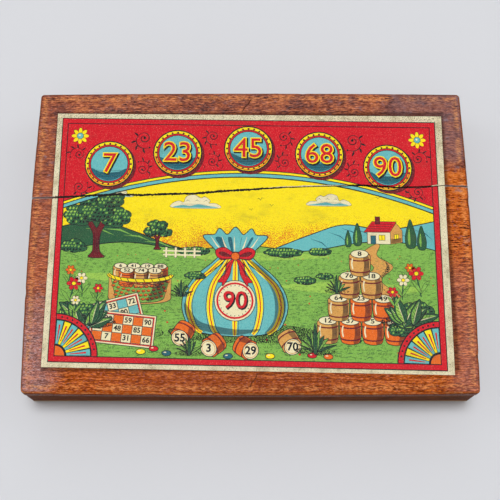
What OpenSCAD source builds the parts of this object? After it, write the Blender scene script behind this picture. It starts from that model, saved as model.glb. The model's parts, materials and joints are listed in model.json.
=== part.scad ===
// Lotto game set in a shallow hinged wooden box.
// The box holds the cards, ninety turned number kegs, glass counters and a folded draw bag.
// The origin is the middle of the footprint on the table. +Z is up, the front is -Y.
// All sizes are in millimetres. The box takes its size from what it holds.

/* [Kegs] */
// Diameter of a keg at its middle
keg_d = 15.6; // [12:0.1:19]
// Height of a keg
keg_h = 15; // [10:0.5:17]
// How much smaller the radius is at a keg's ends than at its middle
keg_bulge = 1; // [0.5:0.1:1.6]
// Radius of the round grooves turned into a keg
keg_groove_r = 0.45; // [0.2:0.05:0.7]
// Distance of a groove from the keg's end
keg_groove_in = 3; // [2:0.1:4]
// Depth of the dished end that takes the number
keg_dish_depth = 0.4; // [0.2:0.1:1]
// Rim left round the dished end
keg_rim = 1.1; // [0.8:0.1:1.6]
// Gap between neighbouring kegs
keg_gap = 0.6; // [0.3:0.1:1.5]
// Free space between the block of kegs and its bay
keg_play = 3.5; // [1:0.1:6]

/* [Cards] */
// Number of cards in the stack
card_count = 24; // [24:24:24]
// Short side of a card
card_w = 84; // [76:1:100]
// Thickness of one card
card_t = 0.7; // [0.5:0.05:0.8]
// Radius of a card's corners
card_corner_r = 2.5; // [0.5:0.5:6]
// Free space between the cards and their bay
card_play = 2; // [1.6:0.1:4]
// Largest sideways slip of a card in the stack
card_slip = 0.7; // [0:0.1:0.8]
// Largest turn of a card in the stack, in degrees
card_turn = 0.3; // [0:0.05:0.35]

/* [Counters] */
// Diameter of a glass counter
counter_d = 11; // [9:0.5:14]
// Thickness of a glass counter
counter_t = 2.6; // [1.8:0.1:4]
// Gap between neighbouring counters
counter_gap = 0.5; // [0.5:0.1:1]
// Free space between the counters and their bay
counter_play = 0.6; // [0.3:0.1:2]

/* [Draw bag] */
// Length of the folded bag, front to back
bag_l = 104; // [80:1:120]
// Thickness of one folded layer of the bag
bag_layer_t = 1.5; // [1.2:0.1:1.8]
// Air between two layers
bag_layer_gap = 0.25; // [0.1:0.05:0.4]
// How far the mouth stands back from the fold under it
bag_mouth_in = 7; // [4:0.5:16]
// Width of the hem that takes the drawstring
bag_hem_w = 8; // [6:0.5:12]
// Extra thickness of the hem
bag_hem_extra = 0.4; // [0.2:0.1:0.6]
// Space left free beside the bag
bag_clear = 1.5; // [1:0.1:4]
// Diameter of the drawstring
cord_d = 1.6; // [1.2:0.1:2]

/* [Base] */
// Thickness of the four walls
wall_t = 9.5; // [8:0.5:11]
// Thickness of the bottom board
bottom_t = 4; // [3:0.5:6]
// Rounding of the bottom board's lower edge
bottom_edge_r = 1; // [0.5:0.1:1.5]
// Fingers in each corner joint
finger_count = 5; // [3:2:7]
// Thickness of the dividers
divider_t = 4; // [3:0.5:5]
// Depth of the grooves that hold the dividers
groove_depth = 1.5; // [1:0.1:1.8]
// Radius of the finger notch in the card divider
notch_r = 13; // [9:0.5:16]
// Free height above the tallest stack
headroom = 2.4; // [1.5:0.1:6]

/* [Lid] */
// Thickness of the lid board
lid_t = 8; // [7:0.5:11]
// How far the middle of the lid's ends stands past the walls
lid_overhang_x = 2.5; // [2.3:0.1:2.8]
// How far the middle of the lid's front and back stands past the walls
lid_overhang_y = 2; // [1.8:0.1:2.2]
// How far the lid's ends bow out between their corners
lid_bow_x = 1.6; // [1:0.1:1.7]
// How far the lid's front and back bow out between their corners
lid_bow_y = 1; // [0.6:0.1:1.1]
// Gap between the closed lid and the walls
lid_gap = 0.2; // [0.1:0.05:0.3]
// Corner radius of the lid seen from above
lid_corner_r = 3; // [1:0.5:8]
// Radius of the rounded edge on the lid's top
edge_r = 3.5; // [3:0.5:6]
// Radius of the lid's lower edge
edge_foot_r = 0.5; // [0.3:0.1:0.6]
// Margin of bare wood beside the label, at the left and right
label_margin_x = 15; // [10:0.5:25]
// Margin of bare wood before and behind the label
label_margin_y = 16; // [12:0.5:25]
// Thickness of the paper label
label_t = 0.3; // [0.1:0.05:0.5]
// Width of the widest part of the crack in the lid
crack_w = 0.8; // [0.3:0.1:1.2]
// Depth of the crack in the lid board
crack_depth = 3; // [1:0.5:3.5]
// Width of the battens under the lid
batten_w = 12; // [8:1:16]
// Thickness of the battens under the lid
batten_t = 5; // [3:0.5:6]
// Gap between a batten and the inside of the walls
batten_inset = 1; // [0.6:0.1:3]

/* [Hinges] */
// Length of a hinge
hinge_l = 26; // [20:1:36]
// Distance from the end of the box to the middle of a hinge
hinge_inset = 52; // [30:1:70]
// Width of a hinge leaf, from the pin's axis
leaf_w = 6.6; // [5.5:0.1:7.5]
// Thickness of a hinge leaf
leaf_t = 0.8; // [0.6:0.05:1]
// Outside radius of the knuckles
knuckle_r = 1.3; // [1.2:0.05:1.4]
// Number of knuckles in a hinge
knuckle_count = 5; // [3:2:7]
// Distance of the pin's axis behind the back wall
axis_out = 0.5; // [0.4:0.05:0.7]
// Radius of the hinge pin
pin_r = 0.6; // [0.5:0.05:0.7]

/* [Fasteners] */
// Radius of a hinge screw's shank
screw_r = 0.75; // [0.6:0.05:0.9]
// Radius of a hinge screw's head
screw_head_r = 1.5; // [1.4:0.05:1.6]
// Length of a hinge screw
screw_l = 6.5; // [5:0.5:7]
// Distance of a hinge screw from the hinge's end
screw_in = 5; // [4:0.5:6]
// Radius of a batten screw's shank
batten_screw_r = 1; // [0.8:0.05:1.3]
// Radius of a batten screw's head
batten_screw_head_r = 2; // [1.8:0.1:2.4]
// How far a batten screw bites into the lid
batten_screw_bite = 4.5; // [3:0.5:5]
// Radius of a brad's shank
brad_r = 0.6; // [0.5:0.05:0.8]
// Radius of a brad's head
brad_head_r = 1.2; // [1:0.1:1.6]
// How far a brad bites into a wall
brad_bite = 9; // [6:0.5:12]

/* [Hidden] */
$fn = 48;
eps = 0.01;                   // overshoot of a cut past the face that it opens
fastener_gap = 0.02;          // between a fastener and its hole
part_gap = 0.1;               // round a part let into wood
pin_gap = 0.05;               // between the hinge pin and its knuckles
turn_gap = 0.25;              // round the turning knuckles
knuckle_side_gap = 0.1;       // between neighbouring knuckles
screw_slot_w = 0.4;
screw_slot_depth = 0.3;
brad_head_t = 0.5;

keg_columns = 10;
keg_rows = 9;
keg_pitch = keg_d + keg_gap;
keg_chamfer = 0.5;

counter_rows = 2;
counter_pitch = counter_d + counter_gap;
counter_stray = 0.2;          // largest shift of a counter, within the gap

card_bay_w = card_w + 2 * card_play;
keg_bay_w = keg_columns * keg_pitch + 2 * keg_play;
keg_bay_d = keg_rows * keg_pitch + 2 * keg_play;
counter_bay_d = counter_rows * counter_pitch + 2 * counter_play;
inner_w = card_bay_w + divider_t + keg_bay_w;
inner_d = counter_bay_d + divider_t + keg_bay_d;

card_stack_h = card_count * card_t;
bag_h = 3 * bag_layer_t + 2 * bag_layer_gap + bag_hem_extra / 2;
inner_h = headroom + max(card_stack_h + bag_h + cord_d, keg_h + batten_t);

base_w = inner_w + 2 * wall_t;
base_d = inner_d + 2 * wall_t;
base_h = bottom_t + inner_h;
finger_h = inner_h / finger_count;
divider_h = inner_h - batten_t - part_gap * 10;

lid_w = base_w + 2 * lid_overhang_x;
lid_d = base_d + 2 * lid_overhang_y;
bow_x_r = (pow(lid_d / 2, 2) + pow(lid_bow_x, 2)) / (2 * lid_bow_x);
bow_y_r = (pow(lid_w / 2, 2) + pow(lid_bow_y, 2)) / (2 * lid_bow_y);
lid_z = base_h + lid_gap;
lid_top = lid_z + lid_t;
label_w = lid_w - 2 * label_margin_x;
label_d = lid_d - 2 * label_margin_y;

card_l = inner_d - 2 * card_play;
card_x = -inner_w / 2 + card_bay_w / 2;
card_top = bottom_t + card_stack_h;
divider_x = -inner_w / 2 + card_bay_w;              // left face of the card divider
keg_bay_x = divider_x + divider_t;                  // left side of the keg and counter bays
divider_y = -inner_d / 2 + counter_bay_d;           // front face of the counter divider
keg_bay_y = divider_y + divider_t;                  // front side of the keg bay

batten_l = inner_d - 2 * batten_inset;
batten_x = inner_w / 2 - batten_inset - batten_w / 2;
bag_x = -batten_x + batten_w / 2 + bag_clear;       // left side of the bag
bag_w = divider_x - bag_clear - bag_x;
bag_y = inner_d / 2 - bag_l - 2 * bag_clear;        // front side of the bag

axis_y = base_d / 2 + axis_out;
axis_z = base_h + lid_gap / 2;
hinge_x = base_w / 2 - hinge_inset;
knuckle_l = hinge_l / knuckle_count;
leaf_root = knuckle_r + turn_gap;                   // a leaf's plate stops this far from the axis
screw_y = axis_y - (leaf_root + leaf_w) / 2;
pin_l = hinge_l + 1;
screw_xs = [-hinge_l / 2 + screw_in, hinge_l / 2 - screw_in];
batten_screw_ys = [-0.36, 0, 0.36] * batten_l;

// The hand-cut label's corners, from the front left one round: its side in x and y, and how far it
// lies from its place in a true rectangle
label_corners = [
    [-1, -1, -1.4, 1.2], [1, -1, -1.8, -3.8], [1, 1, -0.2, -1.9], [-1, 1, -0.9, 0.3],
];

// The crack along the grain: share of the lid's width, share of its depth, share of crack_w
crack = [
    [-0.520, 0.1284, 0.6], [-0.422, 0.1314, 0.8], [-0.364, 0.1363, 1.0], [-0.305, 0.1402, 0.9],
    [-0.246, 0.1382, 1.0], [-0.187, 0.1422, 1.0], [-0.128, 0.1431, 0.9], [-0.069, 0.1510, 0.8],
    [0.000, 0.1569, 0.7], [0.079, 0.1637, 0.6], [0.167, 0.1676, 0.5], [0.255, 0.1686, 0.5],
    [0.334, 0.1618, 0.5], [0.403, 0.1637, 0.4], [0.442, 0.1706, 0.4], [0.520, 0.1657, 0.5],
];

// The drawstring's free loop lies on the top card: x, y from the mouth of the hem, and height
// above its resting height, each as a real size.
cord_drop = bag_h - bag_hem_extra / 2 - bag_layer_t / 2 - cord_d / 2;
cord_route = [
    [-1.2, 0, 1], [-1.2, -2.5, 1], [-1.6, -5.5, 0.7], [-2.6, -9, 0.25], [-4, -13, 0],
    [-5.5, -18, 0], [-6, -24, 0], [-4.5, -30, 0], [0, -35, 0], [6.5, -37.5, 0],
    [13.5, -37, 0], [19, -33, 0], [21.5, -27, 0], [20, -20.5, 0], [15, -15.5, 0],
    [9.5, -12, 0], [5, -9, 0.2], [2.2, -6, 0.7], [1.2, -3, 1], [1.2, 0, 1],
];

// A value from -1 to 1 that looks random but is the same every time
function jitter(i) = sin(137.508 * i + 40);

// Fasteners

// A countersunk screw standing on its tip's side, head up, with its head's face at z = 0
module screw(shank_r, head_r, length) {
    head_h = head_r - shank_r;
    difference() {
        union() {
            translate([0, 0, -head_h]) cylinder(r1 = shank_r, r2 = head_r, h = head_h);
            translate([0, 0, -length + shank_r])
                cylinder(r = shank_r, h = length - shank_r - head_h);
            translate([0, 0, -length]) cylinder(r1 = shank_r / 4, r2 = shank_r, h = shank_r);
        }
        translate([-head_r, -screw_slot_w / 2, -screw_slot_depth])
            cube([2 * head_r, screw_slot_w, screw_slot_depth + eps]);
    }
}

// The hole that such a screw fills
module screw_hole(shank_r, head_r, length) {
    head_h = head_r - shank_r;
    translate([0, 0, -head_h])
        cylinder(r1 = shank_r + fastener_gap, r2 = head_r + fastener_gap, h = head_h);
    translate([0, 0, -length - fastener_gap])
        cylinder(r = shank_r + fastener_gap, h = length + fastener_gap);
    translate([0, 0, -eps]) cylinder(r = head_r + fastener_gap, h = 10 * eps);
}

// Base

module board_corner_fingers(along, across, odd) {
    for (i = [0 : finger_count - 1], side = [-1, 1])
        if ((i % 2 == 1) == odd)
            translate([side * (along / 2 - wall_t / 2), 0, bottom_t + (i + 0.5) * finger_h])
                cube([wall_t + 2 * eps, across + 2 * eps, finger_h], center = true);
}

// A wall along X, centred on the origin, with the odd or the even fingers cut away at its ends
module finger_wall(length, odd) {
    difference() {
        translate([-length / 2, -wall_t / 2, bottom_t]) cube([length, wall_t, inner_h]);
        board_corner_fingers(length, wall_t, odd);
    }
}

module divider_groove() {
    translate([divider_x, -inner_d / 2 - groove_depth, bottom_t])
        cube([divider_t, inner_d + 2 * groove_depth, inner_h + eps]);
}

module front_wall() {
    color("saddlebrown") difference() {
        translate([0, -base_d / 2 + wall_t / 2, 0]) finger_wall(base_w, true);
        divider_groove();
        brad_holes();
    }
}

module back_wall() {
    color("saddlebrown") difference() {
        translate([0, base_d / 2 - wall_t / 2, 0]) finger_wall(base_w, true);
        divider_groove();
        brad_holes();
        hinge_seats(-1);
    }
}

module left_wall() {
    color("saddlebrown") difference() {
        translate([-base_w / 2 + wall_t / 2, 0, 0]) rotate(90) finger_wall(base_d, false);
        brad_holes();
    }
}

module right_wall() {
    color("saddlebrown") difference() {
        translate([base_w / 2 - wall_t / 2, 0, 0]) rotate(90) finger_wall(base_d, false);
        translate([inner_w / 2 - eps, divider_y, bottom_t])
            cube([groove_depth + eps, divider_t, inner_h + eps]);
        brad_holes();
    }
}

// The thin bottom board, with its lower arris rounded
module bottom_section(length) {
    translate([-length / 2, bottom_edge_r]) square([length, bottom_t - bottom_edge_r]);
    translate([-length / 2 + bottom_edge_r, 0]) square([length - 2 * bottom_edge_r, bottom_t]);
    for (side = [-1, 1])
        translate([side * (length / 2 - bottom_edge_r), bottom_edge_r]) circle(bottom_edge_r);
}

module bottom_board() {
    color("burlywood") difference() {
        intersection() {
            translate([0, base_d / 2, 0]) rotate([90, 0, 0])
                linear_extrude(base_d) bottom_section(base_w);
            translate([-base_w / 2, 0, 0]) rotate([90, 0, 90])
                linear_extrude(base_w) bottom_section(base_d);
        }
        brad_holes();
    }
}

// Places its children at every brad under the walls
module at_brads() {
    for (x = [-0.38, -0.13, 0.13, 0.38] * base_w, side = [-1, 1])
        translate([x, side * (base_d - wall_t) / 2, 0]) children();
    for (y = [-0.3, 0, 0.3] * base_d, side = [-1, 1])
        translate([side * (base_w - wall_t) / 2, y, 0]) children();
}

module brad(gap) {
    translate([0, 0, -eps * (gap > 0 ? 1 : 0)]) cylinder(r = brad_head_r + gap, h = brad_head_t + gap);
    cylinder(r = brad_r + gap, h = bottom_t + brad_bite + gap);
}

module brad_holes() {
    at_brads() brad(fastener_gap);
}

module bottom_brads() {
    color("dimgray") at_brads() brad(0);
}

// A divider along X from 0, with a rounded top edge
module divider(length) {
    rotate([90, 0, 90]) linear_extrude(length) {
        square([divider_t, divider_h - divider_t / 2]);
        translate([divider_t / 2, divider_h - divider_t / 2]) circle(divider_t / 2);
    }
}

module card_divider() {
    color("burlywood") difference() {
        translate([divider_x + divider_t, -inner_d / 2 - groove_depth, bottom_t])
            rotate(90) divider(inner_d + 2 * groove_depth);
        translate([divider_x - eps, 0, bottom_t + divider_h])
            rotate([0, 90, 0]) cylinder(r = notch_r, h = divider_t + 2 * eps);
        translate([keg_bay_x - groove_depth, divider_y, bottom_t - eps])
            cube([groove_depth + eps, divider_t, divider_h + 2 * eps]);
    }
}

module counter_divider() {
    color("burlywood")
        translate([keg_bay_x - groove_depth, divider_y, bottom_t])
            divider(keg_bay_w + 2 * groove_depth);
}

// Lid

// A wide disc with a quarter round on its top edge and a small one on its lower edge
module lid_disc(r) {
    rotate_extrude($fn = 256) {
        translate([0, edge_foot_r]) square([r - edge_r, lid_t - edge_foot_r]);
        translate([0, edge_foot_r]) square([r, lid_t - edge_r - edge_foot_r]);
        square([r - edge_foot_r, lid_t - edge_r]);
        translate([r - edge_r, lid_t - edge_r]) circle(edge_r);
        translate([r - edge_foot_r, edge_foot_r]) circle(edge_foot_r);
    }
}

module rounded_rectangle(w, d, r) {
    square([w - 2 * r, d], center = true);
    square([w, d - 2 * r], center = true);
    for (x = [-1, 1], y = [-1, 1]) translate([x * (w / 2 - r), y * (d / 2 - r)]) circle(r);
}

// The middle of a lid corner's rounding, found by going back and forth between the two bows
function corner_x(y) = sqrt(pow(bow_x_r - lid_corner_r, 2) - y * y) - bow_x_r + lid_w / 2;
function corner_y(x) = sqrt(pow(bow_y_r - lid_corner_r, 2) - x * x) - bow_y_r + lid_d / 2;
function corner_middle(x, rounds) =
    rounds == 0 ? [x, corner_y(x)] : corner_middle(corner_x(corner_y(x)), rounds - 1);

// What a lid corner loses to its rounding. It starts where the rounding meets the bows.
module lid_corner_waste(side_x, side_y) {
    middle = corner_middle(lid_w / 2 - lid_corner_r, 6);
    reach = 3 * lid_corner_r;
    turn_x = asin(middle.y / (bow_x_r - lid_corner_r));
    turn_y = asin(middle.x / (bow_y_r - lid_corner_r));
    corner = [
        [0, 0], reach * [cos(turn_x), sin(turn_x)],
        reach * [1.5, 1.5], reach * [sin(turn_y), cos(turn_y)],
    ];
    translate([side_x * middle.x, side_y * middle.y, -eps]) difference() {
        linear_extrude(lid_t + 2 * eps) polygon([for (p = corner) [side_x * p.x, side_y * p.y]]);
        translate([0, 0, -eps]) cylinder(r = lid_corner_r, h = lid_t + 4 * eps);
    }
}

// The lid's outline, with its ends, front and back bowed out a little and its corners rounded
module lid_slab() {
    difference() {
        intersection() {
            translate([lid_w / 2 - bow_x_r, 0, 0]) lid_disc(bow_x_r);
            translate([bow_x_r - lid_w / 2, 0, 0]) rotate(180) lid_disc(bow_x_r);
            translate([0, lid_d / 2 - bow_y_r, 0]) rotate(90) lid_disc(bow_y_r);
            translate([0, bow_y_r - lid_d / 2, 0]) rotate(270) lid_disc(bow_y_r);
        }
        for (x = [-1, 1], y = [-1, 1]) lid_corner_waste(x, y);
    }
}

module crack_outline() {
    polygon(concat(
        [for (p = crack) [p.x * lid_w, p.y * lid_d + p.z * crack_w / 2]],
        [for (i = [len(crack) - 1 : -1 : 0])
            [crack[i].x * lid_w, crack[i].y * lid_d - crack[i].z * crack_w / 2]]
    ));
}

module lid_board() {
    color("sienna") difference() {
        translate([0, 0, lid_z]) lid_slab();
        translate([0, 0, lid_top - crack_depth]) linear_extrude(crack_depth + eps) crack_outline();
        hinge_seats(1);
        batten_screw_places() batten_screw_hole();
    }
}

module lid_label() {
    color("khaki") translate([0, 0, lid_top]) linear_extrude(label_t) difference() {
        polygon([for (c = label_corners) [c[0] * label_w / 2 + c[2], c[1] * label_d / 2 + c[3]]]);
        crack_outline();
    }
}

// Places its children under both battens, or one, pointing up into the lid
module batten_screw_places(sides = [-1, 1]) {
    for (side = sides, y = batten_screw_ys)
        translate([side * batten_x, y, lid_z - batten_t]) rotate([180, 0, 0]) children();
}

module batten_screw_hole() {
    screw_hole(batten_screw_r, batten_screw_head_r, batten_t + batten_screw_bite);
}

module lid_batten(side) {
    arris_r = batten_t / 3;
    color("burlywood") difference() {
        translate([side * batten_x, batten_l / 2, lid_z]) rotate([90, 0, 0]) linear_extrude(batten_l) {
            translate([-batten_w / 2, -batten_t + arris_r]) square([batten_w, batten_t - arris_r]);
            translate([-batten_w / 2 + arris_r, -batten_t]) square([batten_w - 2 * arris_r, batten_t]);
            for (x = [-1, 1])
                translate([x * (batten_w / 2 - arris_r), -batten_t + arris_r]) circle(arris_r);
        }
        batten_screw_places([side]) batten_screw_hole();
    }
}

module lid_batten_left() lid_batten(-1);
module lid_batten_right() lid_batten(1);

module batten_screws() {
    color("gray") batten_screw_places()
        screw(batten_screw_r, batten_screw_head_r, batten_t + batten_screw_bite);
}

// Hinges. A leaf lies flat against the joint between the wall and the lid: level is -1 for the
// leaf let into the wall and 1 for the leaf let into the lid.

// The bevelled pockets for both hinges, with room for the turning knuckles
module hinge_seats(level) {
    for (side = [-1, 1]) translate([side * hinge_x, 0, 0]) {
        translate([-hinge_l / 2 - part_gap, axis_y - leaf_w - part_gap, 0]) {
            depth = leaf_t + lid_gap / 2 + fastener_gap;
            translate([0, 0, level < 0 ? axis_z - depth : axis_z])
                cube([hinge_l + 2 * part_gap, leaf_w + part_gap, depth]);
        }
        translate([-pin_l / 2 - part_gap, axis_y, axis_z])
            rotate([0, 90, 0]) cylinder(r = leaf_root, h = pin_l + 2 * part_gap);
        hinge_screw_places(level) screw_hole(screw_r, screw_head_r, screw_l);
    }
}

// Places its children at the screws of one leaf, heads at the face of the leaf
module hinge_screw_places(level) {
    for (x = screw_xs)
        translate([x, screw_y, axis_z + level * lid_gap / 2])
            rotate([level > 0 ? 180 : 0, 0, 0]) children();
}

module hinge_leaf(side, level) {
    first = level < 0 ? 0 : 1;
    plate_z = axis_z + (level < 0 ? -lid_gap / 2 - leaf_t : lid_gap / 2);
    color("goldenrod") translate([side * hinge_x, 0, 0]) difference() {
        union() {
            translate([-hinge_l / 2, axis_y - leaf_w, plate_z]) {
                cube([hinge_l, leaf_w - leaf_root, leaf_t]);
                for (k = [first : 2 : knuckle_count - 1])
                    translate([k * knuckle_l + knuckle_side_gap / 2, 0, 0])
                        cube([knuckle_l - knuckle_side_gap, leaf_w - pin_r, leaf_t]);
            }
            for (k = [first : 2 : knuckle_count - 1])
                translate([-hinge_l / 2 + k * knuckle_l + knuckle_side_gap / 2, axis_y, axis_z])
                    rotate([0, 90, 0]) cylinder(r = knuckle_r, h = knuckle_l - knuckle_side_gap);
        }
        translate([-hinge_l, axis_y, axis_z])
            rotate([0, 90, 0]) cylinder(r = pin_r + pin_gap, h = 2 * hinge_l);
        hinge_screw_places(level) screw_hole(screw_r, screw_head_r, screw_l);
    }
}

module hinge_base_leaf_left() hinge_leaf(-1, -1);
module hinge_base_leaf_right() hinge_leaf(1, -1);
module hinge_lid_leaf_left() hinge_leaf(-1, 1);
module hinge_lid_leaf_right() hinge_leaf(1, 1);

module hinge_pin(side) {
    tip = pin_r / 3;
    color("goldenrod") translate([side * hinge_x - pin_l / 2, axis_y, axis_z]) rotate([0, 90, 0]) {
        cylinder(r1 = pin_r - tip, r2 = pin_r, h = tip);
        translate([0, 0, tip]) cylinder(r = pin_r, h = pin_l - 2 * tip);
        translate([0, 0, pin_l - tip]) cylinder(r1 = pin_r, r2 = pin_r - tip, h = tip);
    }
}

module hinge_pin_left() hinge_pin(-1);
module hinge_pin_right() hinge_pin(1);

module hinge_screws(level) {
    color("goldenrod") for (side = [-1, 1]) translate([side * hinge_x, 0, 0])
        hinge_screw_places(level) screw(screw_r, screw_head_r, screw_l);
}

module hinge_base_screws() hinge_screws(-1);
module hinge_lid_screws() hinge_screws(1);

// Contents

// One card of the stack, counted from the bottom, slipped and turned a little
module card(i) {
    slip = card_slip * [jitter(i), jitter(i + 30)];
    color("antiquewhite") translate([card_x + slip.x, slip.y, bottom_t + (i - 1) * card_t])
        rotate(card_turn * jitter(i + 60)) linear_extrude(card_t)
            rounded_rectangle(card_w, card_l, card_corner_r);
}

// A turned keg standing on its end, barrel-shaped, with two grooves and a dished top
module keg() {
    stave_r = (pow(keg_h / 2, 2) + pow(keg_bulge, 2)) / (2 * keg_bulge);
    end_r = keg_d / 2 - keg_bulge;
    slope = keg_d / 2 - end_r + keg_chamfer;
    groove_x = keg_d / 2 - stave_r + sqrt(pow(stave_r, 2) - pow(keg_h / 2 - keg_groove_in, 2));
    rotate_extrude() difference() {
        intersection() {
            polygon([
                [0, 0], [end_r - keg_chamfer, 0], [keg_d / 2, slope],
                [keg_d / 2, keg_h - slope], [end_r - keg_chamfer, keg_h], [0, keg_h],
            ]);
            translate([keg_d / 2 - stave_r, keg_h / 2]) circle(stave_r, $fn = 180);
        }
        for (z = [keg_groove_in, keg_h - keg_groove_in])
            translate([groove_x, z]) circle(keg_groove_r, $fn = 16);
        translate([-eps, keg_h - keg_dish_depth]) square([end_r - keg_rim, keg_dish_depth + eps]);
    }
}

// The kegs of one ten, in a row from left to right. The first ten stands at the back.
module kegs(ten) {
    y = keg_bay_y + keg_bay_d - keg_play - (ten + 0.5) * keg_pitch;
    color("tan") for (i = [0 : keg_columns - 1])
        translate([keg_bay_x + keg_play + (i + 0.5) * keg_pitch, y, bottom_t]) keg();
}

module counter() {
    rotate_extrude() intersection() {
        union() {
            square([counter_d / 2 - counter_t / 2, counter_t]);
            translate([counter_d / 2 - counter_t / 2, counter_t / 2]) circle(counter_t / 2);
        }
        square([counter_d, counter_t]);
    }
}

// A layer of counters covers the floor of their bay, and a few more lie on top. hue is 0, 1 or 2.
module counters(hue) {
    columns = floor((keg_bay_w - 2 * counter_play) / counter_pitch);
    left = keg_bay_x + (keg_bay_w - columns * counter_pitch) / 2;
    front = -inner_d / 2 + counter_play;
    for (i = [0 : columns - 1], row = [0 : counter_rows - 1]) {
        n = i * counter_rows + row;
        if ((n * 5 + floor(n / 7)) % 3 == hue)
            translate([
                left + (i + 0.5) * counter_pitch + counter_stray * jitter(n),
                front + (row + 0.5) * counter_pitch + counter_stray * jitter(n + 50),
                bottom_t,
            ]) counter();
    }
    for (i = [0 : columns - 2])
        if (i % 4 != 2 && (i * 2 + floor(i / 3)) % 3 == hue)
            translate([
                left + (i + 1) * counter_pitch + counter_stray * jitter(i + 90),
                front + counter_pitch * (1 + 0.25 * jitter(i + 70)),
                bottom_t + counter_t + part_gap,
            ]) counter();
}

module counters_red() color("firebrick") counters(0);
module counters_amber() color("goldenrod") counters(1);
module counters_blue() color("steelblue") counters(2);

// The bag lies folded in three like a letter. Its mouth, with the hem, is the edge of the top layer.
module bag_layer(left, right, z, thick) {
    translate([left + thick / 2, z]) square([right - left - thick, thick]);
    for (x = [left + thick / 2, right - thick / 2]) translate([x, z + thick / 2]) circle(thick / 2);
}

// The round fold that joins a layer to the one above it, towards the side given
module bag_fold(x, z, side) {
    r = bag_layer_t + bag_layer_gap / 2;
    translate([x - side * r, z + r]) difference() {
        circle(r);
        circle(bag_layer_gap / 2, $fn = 16);
        translate([side > 0 ? -2 * r : 0, -r - eps]) square([2 * r, 2 * r + 2 * eps]);
    }
}

module draw_bag() {
    step = bag_layer_t + bag_layer_gap;
    fold_r = bag_layer_t + bag_layer_gap / 2;
    hem_t = bag_layer_t + bag_hem_extra / 2;
    color("beige") translate([bag_x, bag_y + bag_l, card_top]) rotate([90, 0, 0]) linear_extrude(bag_l) {
        bag_layer(fold_r - bag_layer_t / 2, bag_w, 0, bag_layer_t);
        bag_layer(fold_r - bag_layer_t / 2, bag_w - fold_r + bag_layer_t / 2, step, bag_layer_t);
        bag_layer(bag_mouth_in, bag_w - fold_r + bag_layer_t / 2, 2 * step, bag_layer_t);
        bag_layer(bag_mouth_in, bag_mouth_in + bag_hem_w, 2 * step, hem_t);
        bag_fold(0, 0, -1);
        bag_fold(bag_w, step, 1);
    }
}

// A round tube along the points of a route, square to the route's ends
function unit(v) = v / norm(v);
function ring(p, along, r, n) =
    let (side = unit(cross(along, [0, 0, 1])), up = cross(side, along))
    [for (k = [0 : n - 1]) p + r * (cos(360 * k / n) * side + sin(360 * k / n) * up)];

// A smooth curve through the route's points, steps to a stretch
function curve_point(a, b, c, d, t) =
    0.5 * (2 * b + (c - a) * t + (2 * a - 5 * b + 4 * c - d) * t * t
        + (3 * b - a - 3 * c + d) * t * t * t);
function smooth_route(p, steps) =
    let (last = len(p) - 1)
    concat(
        [for (i = [0 : last - 1], s = [0 : steps - 1])
            curve_point(p[max(i - 1, 0)], p[i], p[i + 1], p[min(i + 2, last)], s / steps)],
        [p[last]]
    );

module tube(path, r, sides) {
    last = len(path) - 1;
    function heading(i) =
        i == 0 || i == last ? [0, i == 0 ? -1 : 1, 0] : unit(path[i + 1] - path[i - 1]);
    points = [for (i = [0 : last]) each ring(path[i], heading(i), r, sides)];
    walls = [for (i = [0 : last - 1], k = [0 : sides - 1])
        let (a = i * sides + k, b = i * sides + (k + 1) % sides)
        each [[a, b, b + sides], [a, b + sides, a + sides]]];
    polyhedron(points, concat(
        [[for (k = [sides - 1 : -1 : 0]) k]], walls, [[for (k = [0 : sides - 1]) last * sides + k]]
    ));
}

module drawstring() {
    rest_z = card_top + cord_d / 2 + part_gap / 2;
    mouth = [bag_x + bag_mouth_in + bag_hem_w / 2, bag_y, rest_z];
    color("ivory") tube(
        smooth_route([for (p = cord_route) mouth + [p.x, p.y, p.z * cord_drop]], 3), cord_d / 2, 8
    );
}

bottom_board();
front_wall();
back_wall();
left_wall();
right_wall();
bottom_brads();
card_divider();
counter_divider();
lid_board();
lid_label();
lid_batten_left();
lid_batten_right();
batten_screws();
hinge_base_leaf_left();
hinge_base_leaf_right();
hinge_lid_leaf_left();
hinge_lid_leaf_right();
hinge_pin_left();
hinge_pin_right();
hinge_base_screws();
hinge_lid_screws();
card(1);  // card_01
card(2);  // card_02
card(3);  // card_03
card(4);  // card_04
card(5);  // card_05
card(6);  // card_06
card(7);  // card_07
card(8);  // card_08
card(9);  // card_09
card(10);  // card_10
card(11);  // card_11
card(12);  // card_12
card(13);  // card_13
card(14);  // card_14
card(15);  // card_15
card(16);  // card_16
card(17);  // card_17
card(18);  // card_18
card(19);  // card_19
card(20);  // card_20
card(21);  // card_21
card(22);  // card_22
card(23);  // card_23
card(24);  // card_24
kegs(0);  // kegs_01_to_10
kegs(1);  // kegs_11_to_20
kegs(2);  // kegs_21_to_30
kegs(3);  // kegs_31_to_40
kegs(4);  // kegs_41_to_50
kegs(5);  // kegs_51_to_60
kegs(6);  // kegs_61_to_70
kegs(7);  // kegs_71_to_80
kegs(8);  // kegs_81_to_90
counters_red();
counters_amber();
counters_blue();
draw_bag();
drawstring();
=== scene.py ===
import json
import math
import random

import bpy
import mathutils.bvhtree
import mathutils.noise
from mathutils import Matrix, Vector

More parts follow.
